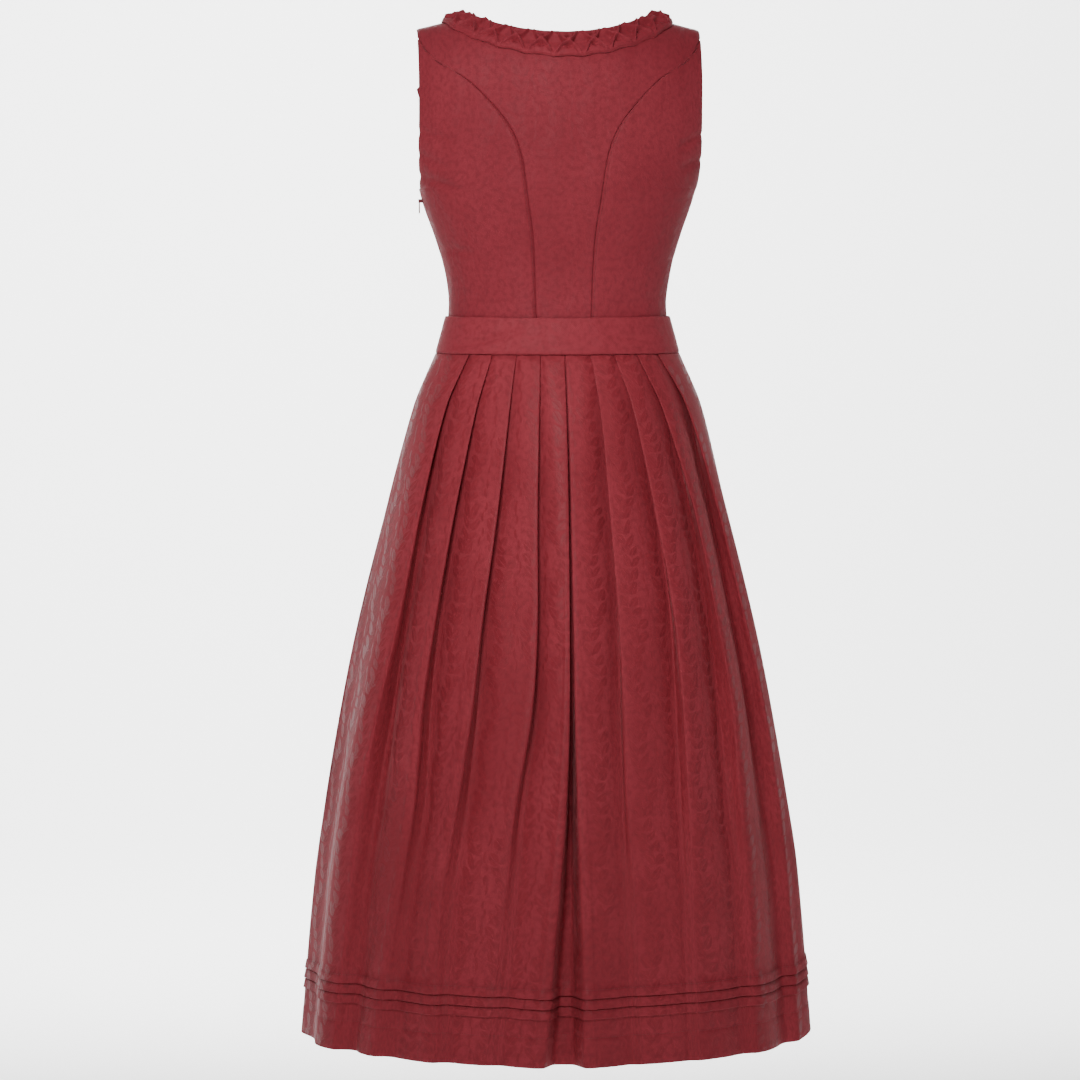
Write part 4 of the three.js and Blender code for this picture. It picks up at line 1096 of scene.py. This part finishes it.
@dataclass
class Skirt:
    """A half skirt: five pleats to each side, opening into soft folds, three tucks and a hem."""

    finishes: Finishes
    side: Side
    left: tuple[Fold, ...]
    right: tuple[Fold, ...]
    seed: int
    thickness: float = 0.9
    tuck_rise: float = 2.1
    hem_rise: float = 0.45
    cloth_per_pleat: float = 130.0
    shade_depth: float = 3.6
    side_lift: float = 20.0
    rows_apart: float = 8.0
    seam_gap: float = 0.25
    slit_width: float = 1.6
    slit_middle: float = -432.0
    slit_half: float = 9.5
    stitch_lines: dict[Thread, list[Array]] = field(default_factory=dict)
    FIRST_PLEAT: ClassVar = 0.35
    TUCK_SEAM: ClassVar = 9.4
    CALM: ClassVar = (0.0, 0.62, 0.5, 0.55, 0.3)
    LIP: ClassVar = (
        (0.3, 0.3, 1.1), (-0.1, 0.1, 0.95), (0.35, -0.1, 0.5), (0.9, -0.3, 0.12), (-0.4, -0.6, 0.0),
    )

    def _quarter(self, rows: tuple[Fold, ...], hand: Hand, z: float) -> list[tuple[float, float, int, bool]]:
        """The middle line of the cloth of a quarter at one height.

        Args:
            rows: the pleats, from the middle outwards.
            hand: which side of the skirt the quarter is on.
            z: the height.

        Returns:
            A list of share, height over the ring, samples to the next point, and whether it is a fold edge.
        """
        read = lambda name: float(SKIRT.read(name, np.array(z)))
        overlap, height, crown, crisp = read("overlap"), read("height"), read("crown"), read("crisp")
        loose = ramp(z, SKIRT_TOP - 60, -400)
        folded = ramp(overlap, -3, 6)
        low = ramp(z, -760, -200)
        drawn_in = self.shade_depth * ramp(z, SKIRT_TOP - 22, -110)
        mix = lambda a, b, t: a + (b - a) * t
        crest = lambda k: height * mix(1, rows[k].depth, loose) * (1 - self.CALM[k] * low)
        line: list[tuple[float, float, int, bool]] = []
        for k, fold in enumerate(rows):
            share = fold.share(z)
            unit = self._unit(share, z)
            over = overlap if overlap > 0 else overlap * fold.opening
            calm = 1 - self.CALM[k] * low
            top = crest(k)
            tucked = drawn_in * (hand.shade if k else 0.2)
            valley = -height * fold.valley * loose * (1 - 0.6 * folded) * calm - tucked * (1 - 0.8 * low)
            hidden = share + over / unit
            if k:
                before = rows[k - 1].share(z)
                before_top = crest(k - 1)
                width = share - before
                dip = min(share - UNDER_FOLD / unit, hidden - 0.12 * width)
                high = before + max((max(overlap, 0) + PAST_UNDERLAY) / unit, PANEL_CROWN * width)
                high = min(high, mix(before, dip, 0.8))
                line += [
                    (mix(before, high, 0.5), before_top * mix(crown, 1, 0.5), 5, False),
                    (high, before_top * crown, 6, False),
                    (mix(high, dip, 0.6), mix(before_top * crown, valley, 0.48), 5, False),
                    (dip, valley, 4, False),
                ]
            under = mix(mix(valley, top, 0.25), valley + LAYER_STEP, folded)
            over_it = mix(mix(valley, top, 0.85), top - LAYER_STEP, folded)
            line += [
                (hidden, valley, 3, False),
                (mix(share + 0.7 * over / unit, hidden, folded), under, 5, False),
                (mix(share + 0.2 * over / unit, share, folded), over_it, 3, False),
                (share, top, 3, True),
                (share + crisp / unit, top + 0.1, 4, False),
            ]
        last = rows[-1].share(z)
        ridge = read("ridge")
        last_top = line[-1][1]
        column = FLANK_COLUMNS.index(f"{self.side.name}_{hand.name.lower()}")
        for row in FLANK:
            at, flat_share, roll = row[0], row[1], row[column]
            flat = mix(last_top, height, loose) * flat_share
            line.append((mix(last, 1, at), mix(flat, height * 0.5, ridge) + roll * ridge, 6, False))
        return line

    def _ring(self, z: float) -> tuple[float, float]:
        """Half the ring's width and its depth at one height."""
        return float(SKIRT.read("half", np.array(z))), float(SKIRT.read(self.side.name, np.array(z)))

    def _unit(self, share: float, z: float) -> float:
        """Millimetres of the ring in one unit of share."""
        angle = share * math.pi / 2
        half, depth = self._ring(z)
        return math.pi / 2 * math.hypot(half * math.cos(angle), depth * math.sin(angle))

    def _section(self, z: float) -> tuple[Array, Array]:
        """One level as a dense, smooth line in plan from the right side seam to the left.

        Args:
            z: the height.

        Returns:
            The points, and the place of each along the cloth.
        """
        left = self._quarter(self.left, Hand.LEFT, z)
        quarter = self._quarter(self.right, Hand.RIGHT, z)
        right = [(-share, r, count, edge) for share, r, count, edge in quarter]
        middle = ((left[0][0] + right[0][0]) / 2, (left[0][1] + right[0][1]) / 2, 4, False)
        counts = [cell[2] for cell in right[1:]][::-1] + [4, 4] + [cell[2] for cell in left[:-1]]
        cells = right[::-1] + [middle] + left
        share = np.array([cell[0] for cell in cells])
        r = np.array([cell[1] for cell in cells])
        edges = [i for i, cell in enumerate(cells) if cell[3]]
        unit = self._unit(1.0, z)
        gap = self.seam_gap / unit
        slit = self.slit_width / unit * math.exp(-(((z - self.slit_middle) / self.slit_half) ** 4))
        share[0] += gap
        share[-1] -= gap + slit
        angle = share * math.pi / 2
        half, depth = self._ring(z)
        normal = np.stack([np.sin(angle) / half, np.cos(angle) / depth], 1)
        normal /= np.linalg.norm(normal, axis=1, keepdims=True)
        control = np.stack([half * np.sin(angle), depth * np.cos(angle)], 1) + normal * r[:, None]
        control[:, 1] *= self.side.sign
        line, starts = self._spline(control, counts)
        arc = np.concatenate([[0], np.cumsum(np.linalg.norm(np.diff(line, axis=0), axis=1))])
        return line, self._cloth_places(arc, [starts[i] for i in edges], starts, cells)

    @staticmethod
    def _spline(control: Array, counts: list[int]) -> tuple[Array, list[int]]:
        """A smooth curve that follows the control points, with a given number of samples to each stretch.

        Args:
            control: the control points.
            counts: samples for each stretch between them.

        Returns:
            The samples, and the number of the sample nearest each control point.
        """
        ends = np.concatenate([[2 * control[0] - control[1]], control, [2 * control[-1] - control[-2]]])
        samples, starts = [], []
        for i, count in enumerate(counts):
            a, b, c, d = ends[i:i + 4] if i + 4 <= len(ends) else ends[-4:]
            starts.append(len(samples))
            for t in np.arange(count) / count:
                near, far = 3 * t ** 3 - 6 * t * t + 4, -3 * t ** 3 + 3 * t * t + 3 * t + 1
                samples.append(((1 - t) ** 3 * a + near * b + far * c + t ** 3 * d) / 6)
        starts.append(len(samples))
        samples.append(control[-1])
        return np.array(samples), starts

    def _cloth_places(
        self, arc: Array, edges: list[int], starts: list[int], cells: list[tuple[float, float, int, bool]]
    ) -> Array:
        """The place of each sample along the cloth, with true lengths on the panels that show.

        Args:
            arc: the length along the line to each sample.
            edges: the samples at fold edges.
            starts: the sample of each control point.
            cells: the control points.

        Returns:
            Places in millimetres.
        """
        middle = starts[len(starts) // 2]
        place = np.zeros_like(arc)
        outward = {1: [e for e in edges if e > middle], -1: [e for e in edges[::-1] if e < middle]}
        between = lambda one, other: np.arange(min(one, other), max(one, other) + 1)
        for hand, marks in outward.items():
            last = len(arc) - 1 if hand > 0 else 0
            for k, mark in enumerate(marks):
                base = hand * self.cloth_per_pleat * (k + self.FIRST_PLEAT)
                if k + 1 < len(marks):
                    follow = marks[k + 1]
                    order = starts.index(follow)
                    dip = starts[order - 4 * hand]
                    visible, under = between(mark, dip), between(dip, follow)
                    place[visible] = base + (arc[visible] - arc[mark])
                    target = hand * self.cloth_per_pleat * (k + 1 + self.FIRST_PLEAT)
                    ends = sorted([arc[dip] * hand, arc[follow] * hand])
                    place[under] = np.interp(arc[under] * hand, ends, [place[dip], target])
                else:
                    rest = between(mark, last)
                    place[rest] = base + (arc[rest] - arc[mark])
            centre = between(middle, marks[0])
            ends = [arc[middle] * hand, arc[marks[0]] * hand]
            target = hand * self.cloth_per_pleat * self.FIRST_PLEAT
            place[centre] = np.interp(arc[centre] * hand, ends, [0, target])
        return place

    def _levels(self) -> list[tuple[float, float, float]]:
        """The rows: the height outside, the height inside, and how far the outer face stands out.

        The rows lie close together at the tucks and the hem, and below each tuck they turn back up under it.
        """
        level = lambda base, steps, scale=1.0: [(base + z, base + z, rise * scale) for z, rise in steps]
        even = lambda top, end, apart, rise=0.0: [(z, z, rise) for z in np.arange(top, end, -apart)]
        close = self.rows_apart * 0.8
        rows = even(SKIRT_TOP, TUCK_EDGES[0] + 14.0, self.rows_apart)
        for edge in TUCK_EDGES:
            rows += level(edge, ((10.2, 0.05),))
            rows += level(edge, ((self.TUCK_SEAM, 0.55), (5.0, 0.8), (1.6, 1.0)), self.tuck_rise)
            rows += [(edge + z, edge + inside, share * self.tuck_rise) for z, inside, share in self.LIP]
        rows += even(TUCK_EDGES[-1] - 5.0, HEM_STITCH + 3, close)
        rows += level(HEM_STITCH, ((1.4, 0.0), (0.0, -0.25), (-1.4, 0.3)))
        rows += even(HEM_STITCH - 6, HEM + 4, close, self.hem_rise)
        rows += level(HEM, ((1.6, 0.5), (0.6, 0.3), (0.0, -0.1)))
        return rows

    def _side_lift(self, line: Array, z: float) -> Array:
        """How far the cloth hangs higher at the right side seam, where the hem curves up."""
        half, depth = self._ring(z)
        share = np.arctan2(np.abs(line[:, 0]) / half, np.abs(line[:, 1]) / depth) / (math.pi / 2)
        near = ramp(share, 0.66, 0.34) * (line[:, 0] < 0)
        low = ramp(z, -780, -200)
        return self.side_lift * near ** 2 * (3 - 2 * near) * low ** 2 * (3 - 2 * low)

    def build(self) -> bpy.types.Object:
        """Builds the half skirt."""
        levels = self._levels()
        slack = SoftNoise(self.seed, (34.0, 210.0))
        fine = SoftNoise(self.seed + 1, (15.0, 95.0))
        outer, inner, uv = [], [], []
        slant = 0.0
        for row, (z, inside, rise) in enumerate(levels):
            line, place = self._section(float(z))
            run = np.gradient(line, axis=0)
            run /= np.maximum(np.linalg.norm(run, axis=1, keepdims=True), 1e-6)
            out = -self.side.sign * np.stack([run[:, 1], -run[:, 0]], 1)
            loose = ramp(z, SKIRT_TOP - 30, -260)
            wander = loose * (1.15 * slack.at(place + 3000, z + 4000) + 0.4 * fine.at(place + 5000, z + 4000))
            uneven = rise * (1 + 0.22 * fine.at(place + 900, 5000))
            face = line + out * (wander + uneven + self.thickness / 2)[:, None]
            back = line + out * (wander - self.thickness / 2)[:, None]
            lift = self._side_lift(line, z)[:, None]
            outer.append(np.hstack([face, lift + z]))
            inner.append(np.hstack([back, lift + inside]))
            if row:
                slant += float(np.median(np.linalg.norm(outer[-1] - outer[-2], axis=1)))
            uv.append(np.stack([place, np.full(len(line), -slant)], 1))
        outer, inner, uv = np.array(outer), np.array(inner), np.array(uv) * MM
        piece = wall(f"skirt_{self.side.name}_cloth", outer, inner, uv)
        dress(piece, self.finishes.skirt, "skirt_cloth", f"skirt_{self.side.name}")
        self._mark_stitches(levels, outer)
        return piece

    def _mark_stitches(self, levels: list[tuple[float, float, float]], outer: Array) -> None:
        """Keeps the lines along which the tucks and the hem are sewn."""
        heights = np.array([row[0] for row in levels])
        self.stitch_lines = {Thread.TUCK: [], Thread.HEM: []}
        for edge in TUCK_EDGES:
            row = int(np.argmin(np.abs(heights - (edge + self.TUCK_SEAM))))
            self.stitch_lines[Thread.TUCK].append(outer[row])
        row = int(np.argmin(np.abs(heights - HEM_STITCH)))
        self.stitch_lines[Thread.HEM].append(outer[row])


@dataclass
class NeckTrim:
    """The ruched strip round the neckline: box pleats, each pinched in the middle so that it gapes."""

    finishes: Finishes
    motifs: int = 30
    width: float = 30.5
    along: int = 32
    across: int = 42
    clearance: float = 0.5
    rise: float = 8.0
    overhang: float = 5.5
    fullness: float = 1.5
    cloth: float = 0.9
    least_gap: float = 0.4
    PINCH_DROP: ClassVar = 0.06
    LIPS: ClassVar = (0.36, 0.40)
    BODY: ClassVar = 0.44
    SEAM: ClassVar = 0.38

    def _places(self) -> list[tuple[Side, float, float]]:
        """The neckline as one closed loop of places on the form, from the left shoulder over the back."""
        half = np.arange(600) / 600 * math.pi
        places = []
        for side, turns in ((BACK, half), (FRONT, math.pi - half)):
            x = NECK_HALF * np.cos(turns)
            climb = np.abs(x / NECK_HALF) ** side.neck_power
            z = side.neck_depth + (NECK_POINT_HEIGHT - side.neck_depth) * climb
            share = side.share_at(x, z)
            rise = side.rise_at(share, z)
            places += [(side, float(s), float(r)) for s, r in zip(share, rise)]
        return places

    def _height(self, a: Array, b: Array, seed: Array) -> Array:
        """The height of the ruched cloth over its base.

        Args:
            a: the place along a motif, -0.5 to 0.5, with the pinch at 0.
            b: the place across it, -0.5 at the neck edge to 0.5 at the outer edge.
            seed: a small number that differs from motif to motif.

        Returns:
            Millimetres.
        """
        away = np.abs(a)
        below = b + self.PINCH_DROP + 0.012 * seed
        off = np.abs(below)
        lip = np.where(below < 0, *self.LIPS) * (away / 0.40) ** (1.65 + 0.25 * seed)
        past = off - lip
        ends = ramp(away, 0.5, -0.07) * ramp(off, 0.46, -0.08)
        ridge = bell(past, 0, 0.042 + 0.03 * away + 0.025 * (past > 0)) * (1.0 - 0.35 * away) * ends
        inside = 1 / (1 + np.exp(-past / 0.016))
        hollow = bell(away, 0, 0.11) * bell(off, 0.165, 0.085)
        gape = (1 - inside) * bell(off, 0, 0.19) * ramp(away, 0.15, 0.1)
        crease = bell(past - 0.085 - 0.05 * away, 0, 0.032) * ramp(away, 0.06, 0.1) * ends
        pinch = np.exp(-((away / 0.07) ** 2) - ((off / 0.06) ** 2))
        body = self.BODY + 0.08 * inside + 0.62 * ridge + 0.4 * pinch
        body = body - 0.44 * hollow - 0.42 * gape - 0.26 * crease
        flat = np.clip(ramp(b, -0.38, -0.08) + ramp(b, 0.42, 0.07), 0, 1)
        body = body + (self.SEAM - body) * flat
        edge = ramp(np.abs(b), 0.5, -0.07)
        return self.rise * np.clip(body, 0.02, 1.2) * (0.3 + 0.7 * edge)

    def build(self) -> bpy.types.Object:
        """Builds the trim as one closed ring."""
        places = self._places()
        points = np.array([side.point(share, rise) for side, share, rise in places])
        count = len(points)
        steps = np.linalg.norm(np.roll(points, -1, 0) - points, axis=1)
        length = np.concatenate([[0], np.cumsum(steps)])
        columns = self.motifs * self.along
        targets = length[-1] * np.arange(columns) / columns
        picks = np.searchsorted(length, targets, side="right") - 1
        wobble = np.random.RandomState(3).uniform(-1, 1, (self.motifs + 1, 3))
        middle = np.linspace(-0.44, 0.44, self.across - 6)
        b = np.concatenate([[-0.5, -0.49, -0.47], middle, [0.47, 0.49, 0.5]])
        outer = np.zeros((len(b), columns, 3))
        inner = np.zeros_like(outer)
        for c, pick in enumerate(picks):
            side, share, rise = places[pick % count]
            run = points[(pick + 2) % count] - points[pick - 2]
            run /= np.linalg.norm(run)
            normal = side.normal(np.array(share), np.array(rise))
            away = np.cross(run, normal)
            away /= np.linalg.norm(away)
            motif, a = divmod(c / self.along, 1)
            shake = wobble[int(motif) % self.motifs]
            height = self._height(np.full(len(b), a - 0.5) + 0.015 * shake[0], b + 0.02 * shake[1], shake[2])
            bow = np.where(b > 0, 0.8, -0.2) * np.cos(2 * math.pi * a) * (np.abs(b) / 0.5) ** 2
            centre = 1 - (float(points[pick % count][0]) / NECK_HALF) ** 2
            over = self.overhang * centre * (side is BACK)
            distance = self.least_gap - over + (b + 0.5) * self.width + bow
            base, out = self._walk(side, share, rise, away, distance)
            height = height * (1 + 0.08 * shake[2])
            outer[:, c] = base + out * (self.clearance + self.least_gap + height)[:, None]
            inner[:, c] = base + out * (self.clearance + np.maximum(height - self.cloth, 0))[:, None]
        place = np.linspace(0, length[-1] * self.fullness, columns + 1)[None, :]
        uv = np.stack(np.broadcast_arrays(place, (b * self.width * 1.06)[:, None]), -1) * MM
        piece = wall("neck_trim_cloth", outer, inner, uv, ring=True)
        dress(piece, self.finishes.trim, "trim_cloth", "neck_trim")
        return piece

    @staticmethod
    def _walk(
        side: Side, share: float, rise: float, direction: Array, distance: Array
    ) -> tuple[Array, Array]:
        """Places reached over the form from one place, at several distances in one direction."""
        s, r = np.full(len(distance), share), np.full(len(distance), rise)
        steps = 5
        for _ in range(steps):  # one straight step would leave the curved form
            aside, up = side.slopes(s, r)
            aa, au, uu = ((p * q).sum(-1) for p, q in ((aside, aside), (aside, up), (up, up)))
            want_aside, want_up = aside @ direction, up @ direction
            scale = distance / steps / (aa * uu - au * au)
            s = s + (want_aside * uu - want_up * au) * scale
            r = r + (want_up * aa - want_aside * au) * scale
        return side.point(s, r), side.normal(s, r)


@dataclass
class SideZip:
    """The concealed zip: its tape, and the coil of teeth made as a row of small bars."""

    finishes: Finishes
    top: float = -211.3
    bottom: float = -440.0
    half_width: float = 10.0
    bend: float = 62.0
    thickness: float = 0.7
    clearance: float = 1.4

    def _middle(self, z: Array) -> Array:
        """How far out the tape lies at heights z."""
        on_skirt = z < SKIRT_TOP
        bodice = FORM.read("half", np.maximum(z, SKIRT_TOP)) - 1.6 - self.clearance
        skirt = SKIRT.read("half", np.minimum(z, SKIRT_TOP)) - 0.5 - self.clearance
        return np.where(on_skirt, skirt, bodice)

    def build(self, stitcher: Stitcher) -> None:
        """Builds the tape and the coil, and finishes the slider and the pull."""
        z = np.linspace(self.top, self.bottom, 60)[:, None]
        y = np.linspace(-self.half_width, self.half_width, 11)[None, :]
        x = self._middle(z) - (y * y) / (2 * self.bend)
        outer = np.stack(np.broadcast_arrays(x, y, z), -1)
        inner = outer - np.array([self.thickness, 0, 0])
        uv = np.stack(np.broadcast_arrays(y, z), -1) * MM
        tape = wall("side_zip_tape", outer, inner, uv)
        dress(tape, self.finishes.tape, "zip_tape", "side_zip")
        line = np.stack([self._middle(z[:, 0]) + 0.2, 0 * z[:, 0], z[:, 0]], 1)
        coil = Stitcher(pitch=1.25, length=0.8, thickness=1.7, seed=stitcher.seed)
        coil.sew("side_zip_coil", [line], self.finishes.tape, "zip_tape")
        for node in ("zip_slider", "zip_pull"):
            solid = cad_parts[node]
            solid.data.materials.clear()
            solid.data.materials.append(self.finishes.metal)


def aim(thing: bpy.types.Object, place: Vector, target: Vector) -> None:
    """Puts a lamp or camera at a place, pointing at a target."""
    thing.location = place
    thing.rotation_euler = (target - place).to_track_quat("-Z", "Y").to_euler()


@dataclass(frozen=True)
class Light:
    """A square soft light, with its size in metres, its power in watts and its spread in degrees."""

    name: str
    place: tuple[float, float, float]
    size: float
    power: float
    spread: float = 120.0
    target: tuple[float, float, float] = (0.0, 0.0, -0.4)

    def build(self) -> None:
        """Builds the light, aimed at its target."""
        data = bpy.data.lights.new(self.name, "AREA")
        data.size = self.size
        data.energy = self.power
        data.spread = math.radians(self.spread)
        aim(placed(self.name, data), Vector(self.place), Vector(self.target))


@dataclass
class Studio:
    """The pale floor, soft lights and the camera of the photograph."""

    floor: float = -1.9
    distance: float = 6.0
    camera_height: float = -0.20
    aim_height: float = -0.585
    turn: float = 4.8
    aside: float = 0.0197
    lens: float = 178.0
    sweep: float = 1.6
    glow: float = 0.7
    ambient: float = 0.16
    lights: tuple[Light, ...] = (
        Light("key", (0.68, 2.25, 1.0), 0.8, 5.6, 52.0, (0.03, 0.0, -0.38)),
        Light("fill", (-1.9, 2.3, 0.3), 1.8, 1.5),
        Light("front", (0.6, -3.2, 1.4), 2.4, 4.0),
        Light("top", (0.3, 0.6, 2.2), 1.6, 4.0),
        Light("backdrop", (0.0, -4.6, 2.2), 4.0, 900.0, 150.0, (0.0, -9.6, -0.4)),
    )

    def build(self) -> None:
        """Builds the stage, lights and camera."""
        self._stage()
        for light in self.lights:
            light.build()
        world = bpy.data.worlds.new("studio")
        bpy.context.scene.world = world
        world.use_nodes = True
        background = world.node_tree.nodes["Background"].inputs
        background["Color"].default_value = (1.0, 0.99, 0.98, 1.0)
        background["Strength"].default_value = self.ambient
        self._camera()

    def _stage(self) -> None:
        """A floor that sweeps up into a backdrop behind the dress, seen from the back."""
        turns = np.linspace(0.1, math.pi / 2, 12)
        bend = [(-8.0 - self.sweep * math.sin(a), self.sweep - self.sweep * math.cos(a)) for a in turns]
        profile = [(9.0, 0.0), (-8.0, 0.0), *bend, (-8.0 - self.sweep, 9.0)]
        points = [(x, y, self.floor + z) for y, z in profile for x in (-14.0, 14.0)]
        faces = [(2 * i, 2 * i + 1, 2 * i + 3, 2 * i + 2) for i in range(len(profile) - 1)]
        mesh = bpy.data.meshes.new("studio_sweep")
        mesh.from_pydata(points, [], faces)
        mesh.polygons.foreach_set("use_smooth", np.ones(len(faces), bool))
        paint = bpy.data.materials.new("studio_white")
        paint.use_nodes = True
        Nodes(paint.node_tree).fill(paint.node_tree.nodes["Principled BSDF"], {
            "Base Color": (0.92, 0.92, 0.92, 1.0), "Roughness": 0.9,
            "Emission Color": (1.0, 1.0, 1.0, 1.0), "Emission Strength": self.glow,
        })
        mesh.materials.append(paint)
        placed("studio_sweep", mesh)

    def _camera(self) -> None:
        """The camera at the photograph's angle."""
        turn = math.radians(self.turn)
        right = Vector((math.cos(turn), -math.sin(turn), 0))
        shift = right * self.aside
        place = Vector((math.sin(turn), math.cos(turn), 0)) * self.distance
        place = place + Vector((0, 0, self.camera_height)) + shift
        target = Vector((0, 0, self.aim_height)) + shift
        data = bpy.data.cameras.new("camera")
        data.lens = self.lens
        data.sensor_width = 36.0
        camera = placed("camera", data)
        aim(camera, place, target)
        bpy.context.scene.camera = camera


def main() -> None:
    """Builds the dress, piece by piece, and the studio round it."""
    logging.basicConfig(level=logging.INFO, format="%(message)s")
    Studio().build()
    finishes = Finishes.build()
    stitcher = Stitcher()
    bodice = Bodice(finishes)
    bodice.build()
    stitcher.sew("princess_stitches", bodice.stitch_lines, finishes.thread, "bodice_cloth")
    Allowances(finishes).build()
    Waistband(finishes).build()
    for side, left, right, seed in ((BACK, BACK_LEFT, BACK_RIGHT, 21), (FRONT, FRONT_LEFT, FRONT_RIGHT, 47)):
        skirt = Skirt(finishes, side, left, right, seed)
        skirt.build()
        for kind, lines in skirt.stitch_lines.items():
            stitcher.sew(f"{side.name}_{kind.value}_stitches", lines, finishes.thread, "skirt_cloth")
    NeckTrim(finishes).build()
    SideZip(finishes).build(stitcher)


if __name__ == "__main__":
    main()
